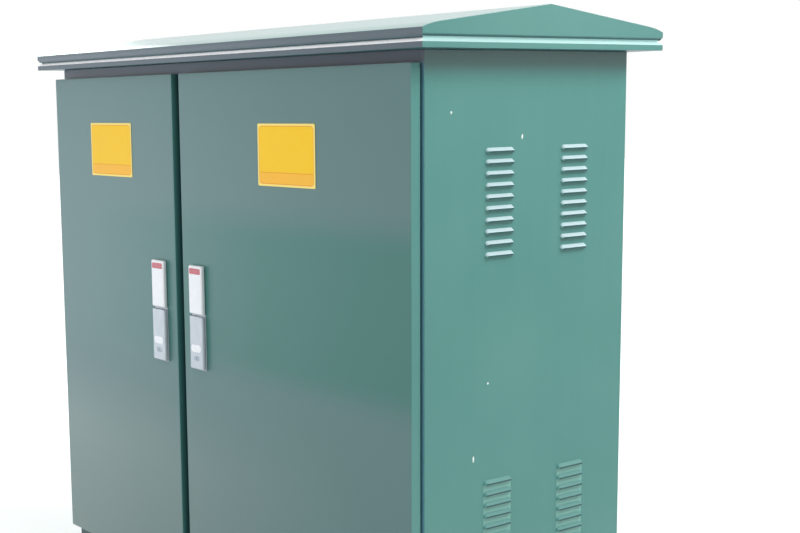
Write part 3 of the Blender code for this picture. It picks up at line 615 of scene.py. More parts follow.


# The ends' coat is an even satin teal, a little paler in patches, with four
# ragged chips down to the white primer. Its narrow front folds get a paler,
# bluer teal as painted light.
panel_coat = powder_coat(
    "teal_powder_coat", PANEL_COLOUR, PANEL_FADED, PANEL_FOLD_LIGHT, front=PANEL_FOLD_FACES)
tree = panel_coat.node_tree
place = add_node(tree, "ShaderNodeTexCoord").outputs["Object"]
rags = add_node(tree, "ShaderNodeTexNoise", {"Vector": place, "Scale": CHIP_RAGS_PER_METRE})
ragged = add_node(tree, "ShaderNodeMath", {0: rags, 1: CHIP_RAG_FLOOR}, operation="ADD")
for spot, height in CHIPS:
    offset = add_node(tree, "ShaderNodeVectorMath", {0: place, 1: (HALF_WIDTH, *spot)}, operation="SUBTRACT")
    across = add_node(tree, "ShaderNodeVectorMath", {
        0: offset, 1: (CHIP_WIDTH, CHIP_WIDTH, height)}, operation="DIVIDE")
    away = add_node(tree, "ShaderNodeVectorMath", {0: across}, operation="LENGTH")
    chipped = add_node(tree, "ShaderNodeMath", {0: away, 1: ragged}, operation="LESS_THAN")
    overlay(panel_coat, PRIMER_COLOUR, chipped)
# The top under the eave gets a dull brownish painted shade, where the roof's
# shadow falls. Beside the lintel the front fold gets the lintel's slate painted shade.
lay_light_shade_and_wear(panel_coat, EAVE_SHADE, EAVE_SHADE_SHARE, ("Object", "Z", 0.0, *EAVE_SHADE_HEIGHTS, SOFT))
lay_light_shade_and_wear(panel_coat, RAIL_FRONT_SHADE, 1.0, ("Normal", "Y", -1.0, *FRONT_FOLD_SHADE_TURN, EVEN),
        ("Object", "Z", 0.0, *LINTEL_SHADE_LEVELS, EVEN))
# Painted light: paler paint between the lower hoods lifts their shadows there.
group_half = (LOUVRE_ROWS - 1) * LOUVRE_PITCH / 2
for column in LOUVRE_COLUMNS:
    lay_light_shade_and_wear(panel_coat, LOWER_FIELD_LIGHT, LOWER_FIELD_LIGHT_SHARE,
            ("Object", "Y", column, LOUVRE_LENGTH / 2 + CRISP, LOUVRE_LENGTH / 2, EVEN),
            ("Object", "Z", LOUVRE_BASES[0] + group_half, group_half + CRISP, group_half, EVEN))

# On the hoods the same coat has a painted sky highlight on the upper ones'
# up-facing slopes, and a painted dark line of shade along each lip.
hood_coat = powder_coat(
    "painted_highlight_and_shade_hood_coat", PANEL_COLOUR, PANEL_FADED, PANEL_FADED, dust_colour=PANEL_FADED)
lay_light_shade_and_wear(hood_coat, HOOD_HIGHLIGHT, 1.0, ("Normal", "Z", 1.0, *HOOD_HIGHLIGHT_TURN, EVEN),
        ("Object", "Z", 0.0, *HOOD_HIGHLIGHT_HEIGHTS, EVEN))
lay_light_shade_and_wear(hood_coat, LIP_SHADE, LIP_SHADE_SHARE, ("Normal", "X", 0.0, *LIP_SHADE_TURN, EVEN))

wall_bottom, wall_top = [corner[2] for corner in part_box("side_panel_right")]
slot_half = LOUVRE_LENGTH / 2 - SLOT_END_MARGIN
u_lines = [-HALF_DEPTH, HALF_DEPTH] + [c + s * slot_half for c in LOUVRE_COLUMNS for s in (-1, 1)]
lips = [base + row * LOUVRE_PITCH for base in LOUVRE_BASES for row in range(LOUVRE_ROWS)]
v_lines = [wall_bottom, wall_top] + lips + [lip + SLOT_SHARE * LOUVRE_HEIGHT for lip in lips]
slots = {(i, j) for i in (1, 3) for j in range(1, 2 * len(lips), 2)}

for word, side in (("left", -1), ("right", 1)):
    bm = folded_tray(sorted(u_lines), sorted(v_lines), slots, PANEL_FOLD,
                     lambda u, v, w: (side * (HALF_WIDTH - w), u, v))
    make_piece("end_panel_" + word, bm, panel_coat, PANEL_BEND, "cabinet", "panel_paint",
               "side_panel_" + word, sheet=SHEET)

    louvres = new_piece("louvres_" + word, bmesh.new(), hood_coat)
    follow_rule(
        louvres, louvre_tree, louvre_keys, Start=(side * HALF_WIDTH, LOUVRE_COLUMNS[0], LOUVRE_BASES[0]),
        Turn=(0.0, 0.0, 0.0 if side > 0 else math.pi), Rows=LOUVRE_ROWS, Length=LOUVRE_LENGTH,
        Height=LOUVRE_HEIGHT, Proud=LOUVRE_PROUD, Sunk=LOUVRE_SUNK, End=LOUVRE_END,
        Corner=LOUVRE_CORNER, Pitch=LOUVRE_PITCH, ColumnGap=LOUVRE_COLUMNS[1] - LOUVRE_COLUMNS[0],
        GroupGap=LOUVRE_BASES[1] - LOUVRE_BASES[0], Paint=hood_coat)
    wall = louvres.modifiers.new("sheet_thickness", "SOLIDIFY")
    wall.thickness = LOUVRE_SHEET
    wall.offset = -1.0
    bake(louvres)
    smooth(louvres)
    fit(louvres, "cabinet", "panel_paint", "side_panel_" + word)


# The rear is closed by two plain sheets, folded on all sides as the ends are,
# which meet at a narrow seam over the rear mullion. The photograph doesn't show
# them, so they repeat the ends' sheet and paint.
for word in ("left", "right"):
    low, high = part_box("rear_panel_" + word)
    bm = folded_tray([low[0], high[0]], [low[2], high[2]], set(), PANEL_FOLD,
                     lambda u, v, w: (u, HALF_DEPTH - w, v))
    make_piece("rear_sheet_" + word, bm, panel_coat, PANEL_BEND, "cabinet", "panel_paint",
               "rear_panel_" + word, sheet=SHEET)


# The roof is one shell folded from 1.5 mm sheet and welded at its mitred
# corners. Its fascia has a plain lower band, a ledge painted pale as sky light
# falls on it, and a bull-nosed upper band. On the gables a flat plate takes the
# upper band's place.
ROOF_SHEET = 0.0015
ROOF_BEND = 0.0012
ROOF_SHARP_ANGLE = 14
ROOF_OVERHANG = 0.0714
SOFFIT_INSET = 0.032
ROOF_SEAT = 1.8793
LEDGE_EDGE = 1.8953
LEDGE_ROOT = (0.0600, 1.9045)
NOSE_DEPTH = 0.0085
NOSE_LOW = 1.9075
NOSE_HIGH = 1.9297
NOSE_SHADE_LEVEL = 1.9095
NOSE_STEPS = 8
PLATE_LOW = 1.9130
PLATE_CURL = 0.003
SHADE_FOOT = (0.0625, 1.9088)
LONG_FOLD = 0.1
EAVE = 1.9315
EAVE_CURVE = ((0.015, 0.0052), (0.032, 0.0101), (0.064, 0.0163))
RIDGE = 2.0013
ROOF_COLOUR = "#548d88"
ROOF_FADED = "#629892"
ROOF_FRONT_SHADE = "#515f68"
ROOF_DUST = "#709a95"
ROOF_FRONT_SHADE_FACES = (-0.3, -0.7)
WASHED_FILM = {"Coat Weight": 1.0, "Coat Roughness": 0.24}
GROOVE_SHADE = "#285e64"
GROOVE_SHADE_FADED = "#34666a"
GROOVE_SHADE_FRONT = "#2a404a"
GABLE_LEDGE_LIGHT = "#c4e6e4"
GABLE_LEDGE_LIGHT_THIN = "#b8deda"
FRONT_LEDGE_LIGHT = "#ffffff"
FRONT_LEDGE_LIGHT_THIN = "#f4fafa"

corners = {}
bm = bmesh.new()


def roof_corner(a, b, reach, z):
    """The shell's vertex at one mitred corner, reach beyond the walls."""
    if (a, b, reach, z) not in corners:
        corners[a, b, reach, z] = bm.verts.new((a * (HALF_WIDTH + reach), b * (HALF_DEPTH + reach), z))
    return corners[a, b, reach, z]


# The fascia's outlines run down from the eave. Each point is a reach beyond the
# wall, a height, and the finish of the strip below it. The nose is on the long
# sides and the plate on the gables.
PAINTED, SHADED, GABLE_LEDGE, FRONT_LEDGE, WASHED = range(5)
nose = [(ROOF_OVERHANG, EAVE, PAINTED)]
for step in range(NOSE_STEPS + 1):
    angle = math.pi / 2 * step / NOSE_STEPS
    z = NOSE_LOW + (NOSE_HIGH - NOSE_LOW) * (1 - math.sin(angle))
    nose.append((ROOF_OVERHANG - NOSE_DEPTH * (1 - math.cos(angle)), z,
                 SHADED if z < NOSE_SHADE_LEVEL else PAINTED))
groove = (LEDGE_ROOT[0], NOSE_LOW, SHADED)
middle = 1 + NOSE_STEPS // 2
plate = [
    nose[0], nose[1], (ROOF_OVERHANG, PLATE_LOW + PLATE_CURL, PAINTED), (*nose[middle][:2], SHADED),
    (ROOF_OVERHANG - 2 * PLATE_CURL, PLATE_LOW, SHADED), (*SHADE_FOOT, GABLE_LEDGE),
    (*groove[:2], GABLE_LEDGE), (*LEDGE_ROOT, GABLE_LEDGE)]
nose += [groove, (*LEDGE_ROOT, FRONT_LEDGE)]
foot = [(ROOF_OVERHANG, LEDGE_EDGE, PAINTED), (ROOF_OVERHANG, ROOF_SEAT, SHADED),
        (-SOFFIT_INSET, ROOF_SEAT, PAINTED)]
for line, runs in ((nose, (((-1, -1), (1, -1)), ((1, 1), (-1, 1)))),
                   (plate, (((1, -1), (1, 1)), ((-1, 1), (-1, -1))))):
    for start, end in runs:
        whole = line + foot
        for (*upper, finish), (*lower, _) in zip(whole, whole[1:]):
            strip = bm.faces.new((roof_corner(*start, *upper), roof_corner(*start, *lower),
                                  roof_corner(*end, *lower), roof_corner(*end, *upper)))
            strip.material_index = finish
# A flat face closes each end of the nose and of the groove at the mitred corners.
for a in (-1, 1):
    for b in (-1, 1):
        for mitre, finish in ((nose[1:middle + 1] + [plate[2]], PAINTED),
                              (nose[middle:-1] + [plate[5], plate[4]], SHADED)):
            end_face = bm.faces.new([roof_corner(a, b, *point[:2]) for point in mitre])
            end_face.material_index = finish
# The slopes curve up over the first 64 mm from the eave and then run straight.
half_line = [(HALF_DEPTH + ROOF_OVERHANG - inset, EAVE + rise) for inset, rise in EAVE_CURVE]
slope_line = [(-y, z) for y, z in half_line] + [(0, RIDGE)] + half_line[::-1]
gables = []
for a in (-1, 1):
    rake = [bm.verts.new((a * (HALF_WIDTH + ROOF_OVERHANG), y, z)) for y, z in slope_line]
    gables.append([roof_corner(a, -1, ROOF_OVERHANG, EAVE), *rake, roof_corner(a, 1, ROOF_OVERHANG, EAVE)])
    bm.faces.new(gables[-1])
for index in range(len(gables[0]) - 1):
    slope = bm.faces.new((gables[0][index], gables[1][index], gables[1][index + 1], gables[0][index + 1]))
    slope.material_index = WASHED
bmesh.ops.recalc_face_normals(bm, faces=bm.faces)
if max(bm.faces, key=lambda f: f.calc_center_median().z).normal.z < 0:
    bmesh.ops.reverse_faces(bm, faces=bm.faces)
# Only the long folds are rounded. The nose is drawn round already.
folded = bm.edges.layers.float.new("bevel_weight_edge")
for edge in bm.edges:
    if edge.calc_length() > LONG_FOLD and edge.calc_face_angle(0) > math.radians(FOLD_ANGLE):
        edge[folded] = 1.0

# The roof's coat is a lighter satin teal, dulled by dust. On the front fascia it is
# slate grey, as painted shade with a painted sky reflection. Rain has left a thin
# clear film on the slopes, which turns them white where one looks along them.
roof_coat = powder_coat("roof_powder_coat", ROOF_COLOUR, ROOF_FADED, ROOF_FRONT_SHADE,
                        dust_colour=ROOF_DUST, front=ROOF_FRONT_SHADE_FACES)
washed_coat = powder_coat("rain_washed_powder_coat", ROOF_COLOUR, ROOF_FADED, ROOF_FADED,
                          dust_colour=ROOF_DUST, film=WASHED_FILM)
# Painted shade darkens the groove and the soffit, and painted sky light whitens the ledge.
groove_shade_coat = powder_coat("painted_shade_groove_coat", GROOVE_SHADE, GROOVE_SHADE_FADED, GROOVE_SHADE_FRONT)
lit_gable_ledge = powder_coat(
    "sky_lit_gable_ledge_coat", GABLE_LEDGE_LIGHT, GABLE_LEDGE_LIGHT_THIN, GABLE_LEDGE_LIGHT, dust_colour=GABLE_LEDGE_LIGHT)
lit_front_ledge = powder_coat(
    "sky_lit_front_ledge_coat", FRONT_LEDGE_LIGHT, FRONT_LEDGE_LIGHT_THIN, FRONT_LEDGE_LIGHT, dust_colour=FRONT_LEDGE_LIGHT)
roof = new_piece("grooved_roof", bm, roof_coat)
for coat in (groove_shade_coat, lit_gable_ledge, lit_front_ledge, washed_coat):
    roof.data.materials.append(coat)
soften(roof, ROOF_BEND, sheet=ROOF_SHEET, segments=2, limit="WEIGHT", even=False, sharp=ROOF_SHARP_ANGLE)
fit(roof, "cabinet", "roof_paint", "roof_shell")


# Three lift-pin hinges carry each door. Both halves are folded or cut from zinc
# plated steel strip with a yellow-grey passivated skin, and button-head screws
# hold them, four millimetres across the thread.
ZINC_BRIGHT = "#c3c4c0"
ZINC_DULL = "#9fa09a"
ZINC_ROUGHNESS = 0.34
ZINC_CLOUDS_PER_METRE = 60.0
RUBBING_PER_METRE = (700.0, 700.0, 20.0)
RUBBING_DEPTHS = (-0.1, 0.15)
SCREW_STEEL = "#a7abae"
SCREW_ROUGHNESS = 0.28
SCREW_RADIUS = 0.0035
SCREW_RISE = 0.0016
SCREW_SOCKET = 0.45
SCREW_FACETS = (20, 10)
BRACKET_SCREW_X = 0.952
BRACKET_SCREW_RISE = 0.011
BRACKET_FACE_Y = -0.4033
LEAF_SCREW_X = 0.9785
LEAF_SCREW_RISE = 0.013
LEAF_REAR_Y = -0.4367


def mottle(tree, place, per_metre, detail, one, other):
    """A noise of soft patches, and two colours mixed by it."""
    patches = add_node(tree, "ShaderNodeTexNoise", {"Vector": place, "Scale": per_metre, "Detail": detail})
    return patches, add_node(tree, "ShaderNodeMix", {
        0: patches, 6: linear(one), 7: linear(other)}, data_type="RGBA")


def plated_steel(name, bright, dull, roughness):
    """Electroplated metal: a soft lustre with cloudy, slightly duller patches."""
    material, tree, shader = new_material(name, {"Metallic": 1.0})
    place = add_node(tree, "ShaderNodeTexCoord").outputs["Object"]
    skin = mottle(tree, place, ZINC_CLOUDS_PER_METRE, 4.0, bright, dull)[1]
    drawn = add_node(tree, "ShaderNodeMapping", {"Vector": place, "Scale": RUBBING_PER_METRE})
    scratches = add_node(tree, "ShaderNodeTexNoise", {"Vector": drawn, "Scale": 1.0})
    lustre = add_node(tree, "ShaderNodeMapRange", {
        "Value": scratches, "To Min": roughness + RUBBING_DEPTHS[0],
        "To Max": roughness + RUBBING_DEPTHS[1]})
    feed(shader, {"Base Color": skin, "Roughness": lustre})
    return material


zinc_plate = plated_steel("zinc_plated_steel", ZINC_BRIGHT, ZINC_DULL, ZINC_ROUGHNESS)
screw_steel = plated_steel("screw_steel", SCREW_STEEL, ZINC_DULL, SCREW_ROUGHNESS)

screw_tree, screw_keys, given = new_rule(
    "button_head_screws", Places="Geometry", Radius="Float", Rise="Float", Facing="Vector", Steel="Material")
ball = add_node(screw_tree, "GeometryNodeMeshUVSphere", {
    "Segments": SCREW_FACETS[0], "Rings": SCREW_FACETS[1], "Radius": given["Radius"]})
squash = add_node(screw_tree, "ShaderNodeMath", {0: given["Rise"], 1: given["Radius"]}, operation="DIVIDE")
flatter = add_node(screw_tree, "ShaderNodeCombineXYZ", {"X": 1.0, "Y": 1.0, "Z": squash})
dome = add_node(screw_tree, "GeometryNodeTransform", {"Geometry": ball, "Scale": flatter})
socket_radius = add_node(screw_tree, "ShaderNodeMath", {
    0: given["Radius"], 1: SCREW_SOCKET}, operation="MULTIPLY")
socket = add_node(screw_tree, "GeometryNodeMeshCylinder", {
    "Vertices": 6, "Radius": socket_radius, "Depth": given["Rise"]})
lifted = add_node(screw_tree, "ShaderNodeCombineXYZ", {"Z": given["Rise"]})
raised = add_node(screw_tree, "GeometryNodeTransform", {"Geometry": socket, "Translation": lifted})
head = add_node(screw_tree, "GeometryNodeMeshBoolean", {
    "Mesh 1": dome, "Mesh 2": raised}, operation="DIFFERENCE")
aim = add_node(screw_tree, "FunctionNodeAlignRotationToVector", {"Vector": given["Facing"]}, axis="Z")
screws = add_node(screw_tree, "GeometryNodeInstanceOnPoints", {
    "Points": given["Places"], "Instance": head, "Rotation": aim})
end_rule(screw_tree, screws, given["Steel"])


def drive_screws(name, places, facing, body):
    """Set a row of screw heads on their places and bake them into one piece."""
    bm = bmesh.new()
    for place in places:
        bm.verts.new(place)
    piece = new_piece(name, bm, screw_steel)
    follow_rule(piece, screw_tree, screw_keys, Radius=SCREW_RADIUS, Rise=SCREW_RISE, Facing=facing,
                Steel=screw_steel)
    bake(piece)
    smooth(piece)
    fit(piece, body, "zinc")


for word, side in (("left", -1), ("right", 1)):
    brackets = ["hinge_bracket_%s_%d" % (word, number) for number in (1, 2, 3)]
    leaves = ["door_%s_hinge_%d" % (word, number) for number in (1, 2, 3)]
    finish_nodes(zinc_plate, *brackets, *leaves)
    levels = [sum(corner[2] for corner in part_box(node)) / 2 for node in brackets]
    for name, x, y, rise, outward, body in (
            ("bracket_screws_", BRACKET_SCREW_X, BRACKET_FACE_Y, BRACKET_SCREW_RISE, -1.0, "cabinet"),
            ("leaf_screws_", LEAF_SCREW_X, LEAF_REAR_Y, LEAF_SCREW_RISE, 1.0, "door_" + word)):
        drive_screws(name + word, [(side * x, y, z + up * rise) for z in levels for up in (-1, 1)],
                     (0.0, outward, 0.0), body)


# Each door is a tray of 2 mm sheet, folded back on four sides and in again on
# three. It stands proud of the frame, and a ring of flat bar stiffens it from
# behind. The doors face the sky and are greyer than the ends, by chalk and by a
# painted sheen of the sky.
DOOR_FACE_Y = -0.441
DOOR_REAR_Y = -0.409
DOOR_BEND = 0.0025
DOOR_LIP = 0.012
LOCK_CUTOUT = (0.052, 0.242)
DOOR_SKY_SHEEN_AND_CHALK = "#527574"
GAP_SHADE = "#12333a"
GAP_SHADE_SHARE = 0.85
GAP_SHADE_DEPTHS = (0.004, 0.026)
GAP_MIDDLE = -0.1645
GAP_REACH = 0.04
OUTER_SKIN = (0.0018, 0.0)
LOCK_BAND_TEAL = "#2d6f66"
LOCK_BAND_SHARE = 0.9
LOCK_BAND_LEVEL = 1.145
LOCK_BAND_REACH = (0.315, 0.175)
LOCK_BAND_SPREAD = (0.010, 1.310)
FOOT_DUST_AND_SHEEN = "#a3afac"
FOOT_DUST_AND_SHEEN_SHARE = 0.4
FOOT_DUST_AND_SHEEN_LEVELS = (0.86, 0.5)
FOOT_DUST_AND_SHEEN_SPREAD = (0.21, 1.91)

# Chalk and a painted sky sheen make the satin teal greyer and flatter on the
# front. Painted shade darkens the gap between the doors, more the deeper it goes.
door_coat = powder_coat("sky_sheen_and_chalk_teal_powder_coat", PANEL_COLOUR, PANEL_FADED, DOOR_SKY_SHEEN_AND_CHALK)
lay_light_shade_and_wear(door_coat, GAP_SHADE, GAP_SHADE_SHARE,
        ("Object", "X", GAP_MIDDLE, GAP_REACH + CRISP, GAP_REACH, EVEN),
        ("Object", "Y", DOOR_FACE_Y, *GAP_SHADE_DEPTHS, EVEN))
# At the level of the locks the grey of painted sky sheen and chalk gives way to a
# deeper teal, more on the right door, and pale dust and a painted reflection of the
# ground lie on the doors' feet, more on the left. Both fade out sideways, and neither is on the inside.
lay_light_shade_and_wear(door_coat, LOCK_BAND_TEAL, LOCK_BAND_SHARE, ("Object", "Z", LOCK_BAND_LEVEL, *LOCK_BAND_REACH, SOFT),
        ("Object", "X", -HALF_WIDTH, *LOCK_BAND_SPREAD, EVEN),
        ("Object", "Y", DOOR_FACE_Y, *OUTER_SKIN, EVEN))
lay_light_shade_and_wear(door_coat, FOOT_DUST_AND_SHEEN, FOOT_DUST_AND_SHEEN_SHARE, ("Object", "Z", 0.0, *FOOT_DUST_AND_SHEEN_LEVELS, SOFT),
        ("Object", "X", HALF_WIDTH, *FOOT_DUST_AND_SHEEN_SPREAD, EVEN),
        ("Object", "Y", DOOR_FACE_Y, *OUTER_SKIN, EVEN))

for word, side in (("left", -1), ("right", 1)):
    low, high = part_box("door_%s_pan" % word)
    rod_low, rod_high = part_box("door_%s_lock_rod" % word)
    plate_low, plate_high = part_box("door_%s_lock_plate" % word)
    hinged = low[0] if side < 0 else high[0]
    lock_from_hinge = abs((rod_low[0] + rod_high[0]) / 2 - hinged)
    lock_level = (plate_low[2] + plate_high[2]) / 2
    u_lines = [0, lock_from_hinge - LOCK_CUTOUT[0] / 2, lock_from_hinge + LOCK_CUTOUT[0] / 2,
               high[0] - low[0]]
    v_lines = [low[2], low[2] + DOOR_LIP, lock_level - LOCK_CUTOUT[1] / 2,
               lock_level + LOCK_CUTOUT[1] / 2, high[2] - DOOR_LIP, high[2]]
    bm = folded_tray(u_lines, v_lines, {(1, 2)}, DOOR_REAR_Y - DOOR_FACE_Y,
                     lambda u, v, w: (hinged - side * u, DOOR_FACE_Y + w, v), lip=DOOR_LIP)
    make_piece("door_%s_tray" % word, bm, door_coat, DOOR_BEND, "door_" + word, "door_paint",
               "door_%s_pan" % word, sheet=SHEET)
    finish_nodes(door_coat, "door_%s_stiffener" % word)


# A soft bulb of black EPDM foam runs round each doorway on the faces of the
# posts and rails. It is pushed on as one cord with mitred corners, and the shut
# door's folded lips stop just in front of it.
SEAL_RADIUS = 0.0019
SEAL_Y = -0.4019
SEAL_LOW = 0.133
SEAL_HIGH = 1.836
SEAL_POST_X = 0.9418
SEAL_MULLION_X = {"left": -0.196, "right": -0.133}
SEAL_STEPS = 10
SEAL_SHARP_ANGLE = 50
EPDM_COLOUR = "#1b1c1d"
EPDM_WORN = "#2b2c2c"
EPDM_ROUGHNESS = 0.85
EPDM_PORES_PER_METRE = 900.0
EPDM_PORE_DEPTH = 0.0002
EPDM_PORE_STRENGTH = 0.6

# EPDM foam looks soft, dead matt and finely pored, with pores about 1 mm across.
epdm_foam, tree, shader = new_material("epdm_foam", {"Roughness": EPDM_ROUGHNESS})
place = add_node(tree, "ShaderNodeTexCoord").outputs["Object"]
cells, rubber = mottle(tree, place, EPDM_PORES_PER_METRE, 3.0, EPDM_COLOUR, EPDM_WORN)
pores = add_node(tree, "ShaderNodeBump", {
    "Strength": EPDM_PORE_STRENGTH, "Distance": EPDM_PORE_DEPTH, "Height": cells})
feed(shader, {"Base Color": rubber, "Normal": pores})

for word, side in (("left", -1), ("right", 1)):
    ends = sorted((side * SEAL_POST_X, SEAL_MULLION_X[word]))
    bm = bmesh.new()
    loops = []
    for x, z, out_x, out_z in ((ends[0], SEAL_LOW, -1, -1), (ends[1], SEAL_LOW, 1, -1),
                               (ends[1], SEAL_HIGH, 1, 1), (ends[0], SEAL_HIGH, -1, 1)):
        loop = []
        for step in range(SEAL_STEPS):
            angle = 2 * math.pi * step / SEAL_STEPS
            reach = SEAL_RADIUS * math.cos(angle)
            loop.append(bm.verts.new((
                x + out_x * reach, SEAL_Y + SEAL_RADIUS * math.sin(angle), z + out_z * reach)))
        loops.append(loop)
    for here, after in zip(loops, loops[1:] + loops[:1]):
        join_rims(bm, here, after)
    bmesh.ops.recalc_face_normals(bm, faces=bm.faces)
    seal = new_piece("doorway_seal_" + word, bm, epdm_foam)
    smooth(seal, SEAL_SHARP_ANGLE)
    fit(seal, "cabinet", None)


# Each lock is a die-cast zinc alloy case let into the door, with a white
# enamelled cover above and a flip-out lever below. The lever swings up on a pin
# across its top, and a small red enamel bar marks the cover.
ENAMEL_WHITE = "#eff1f3"
ENAMEL_WORN = "#e4e7ea"
ENAMEL_ROUGHNESS = 0.28
LEVER_COLOUR = "#c2cad1"
LEVER_WORN = "#b5bec7"
LEVER_ROUGHNESS = 0.30
BAR_RED = "#ba2f42"
BAR_RED_WORN = "#b23343"
KEY_BRIGHT = "#a0a8b0"
KEY_DULL = "#878f97"
KEY_ROUGHNESS = 0.42
KEYHOLE_DARK = "#16181a"
KEYHOLE_ROUGHNESS = 0.8
CLEAR_COAT = 0.3
MARKS_PER_METRE = 45.0
MARKS_RANGE = (0.3, 0.7)
MARKS_MATTING = 0.12
COVER_RADIUS = 0.0055
COVER_REAR_Y = -0.4413
LOCK_FRONT_Y = -0.457
LOCK_BREAK_Z = 1.0628
BACK_PLATE = 0.0035
HOUSING_SIZE = (0.050, 0.240)
HOUSING_REAR_Y = -0.422
CASE_EDGE = 0.0008
FINE_EDGE = 0.0004
PIVOT = (-0.4505, 1.05182)
LUG_RADIUS = 0.0032
LUG_WIDTH = 0.024
LUG_STEPS = 8
LEVER_WALL = 0.0028
LEVER_RADIUS = 0.0048
LEVER_OPEN_SIDES = 0.9
PIN_RADIUS = 0.0018
PIN_SIDES = 16
PIN_EDGE = 0.0003
BAR_SIZE = (0.0635, 0.0190)
BAR_LEVEL = 1.2048
BAR_CORNER = 0.004
BAR_FACES = (-0.4563, -0.4577)
PAD_SIZE = (0.058, 0.025)
PAD_LEVEL = 0.949
PAD_CORNER = 0.012
PAD_FACES = (-0.4558, -0.4582)
PAD_EDGE = 0.0009
KEY_LEVEL = 0.9155
KEY_SIZE = (0.034, 0.0165)
KEY_CORNER = 0.00815
KEY_FACES = (-0.456, -0.4575)
SLOT_SIZE = (0.0022, 0.0085)
SLOT_CORNER = 0.001
SLOT_FACES = (-0.4565, -0.4576)


def enamel(name, colour, worn, roughness):
    """A smooth stoved skin on a casting, with faint handling marks in its gloss."""
    material, tree, shader = new_material(name, {"Coat Weight": CLEAR_COAT})
    place = add_node(tree, "ShaderNodeTexCoord").outputs["Object"]
    marks, skin = mottle(tree, place, MARKS_PER_METRE, 5.0, colour, worn)
    gloss = add_node(tree, "ShaderNodeMapRange", {
        "Value": marks, "From Min": MARKS_RANGE[0], "From Max": MARKS_RANGE[1],
        "To Min": roughness, "To Max": roughness + MARKS_MATTING})
    feed(shader, {"Base Color": skin, "Roughness": gloss})
    return material


def add_block(bm, low, high):
    """Add a closed block between two corners."""
    for vertex in bmesh.ops.create_cube(bm, size=1.0)["verts"]:
        vertex.co = [high[axis] if vertex.co[axis] > 0 else low[axis] for axis in range(3)]


def add_prism(bm, one, other):
    """Add the closed solid between two like rims of vertices."""
    ends = [bm.faces.new(one), bm.faces.new(other)]
    bmesh.ops.recalc_face_normals(bm, faces=ends + join_rims(bm, other, one))


def plaque(centre, size, corner, faces, steps=6):
    """A plate with rounded corners, centred on (x, z), between its rear and front faces."""
    outline = []
    for a, b, start in ((1, 1, 0), (-1, 1, 90), (-1, -1, 180), (1, -1, 270)):
        for step in range(steps + 1):
            angle = math.radians(start + 90 * step / steps)
            outline.append((centre[0] + a * (size[0] / 2 - corner) + corner * math.cos(angle),
                            centre[1] + b * (size[1] / 2 - corner) + corner * math.sin(angle)))
    bm = bmesh.new()
    add_prism(bm, *[[bm.verts.new((x, y, z)) for x, z in outline] for y in faces])
    return bm


# White enamel looks clean and smooth, the lever's lacquer like dull silver, and
# the red bar like a drop of paint. The key plate's nickel is a soft grey mirror,
# and the keyhole only has to look dark.
white_enamel = enamel("white_enamelled_zinc_alloy", ENAMEL_WHITE, ENAMEL_WORN, ENAMEL_ROUGHNESS)
lever_enamel = enamel("silver_lacquered_zinc_alloy", LEVER_COLOUR, LEVER_WORN, LEVER_ROUGHNESS)
red_enamel = enamel("red_enamel", BAR_RED, BAR_RED_WORN, LEVER_ROUGHNESS)
key_nickel = plated_steel("nickel_plated_brass", KEY_BRIGHT, KEY_DULL, KEY_ROUGHNESS)
keyhole_dark = new_material("key_slot_shadow", {
    "Base Color": linear(KEYHOLE_DARK), "Roughness": KEYHOLE_ROUGHNESS})[0]

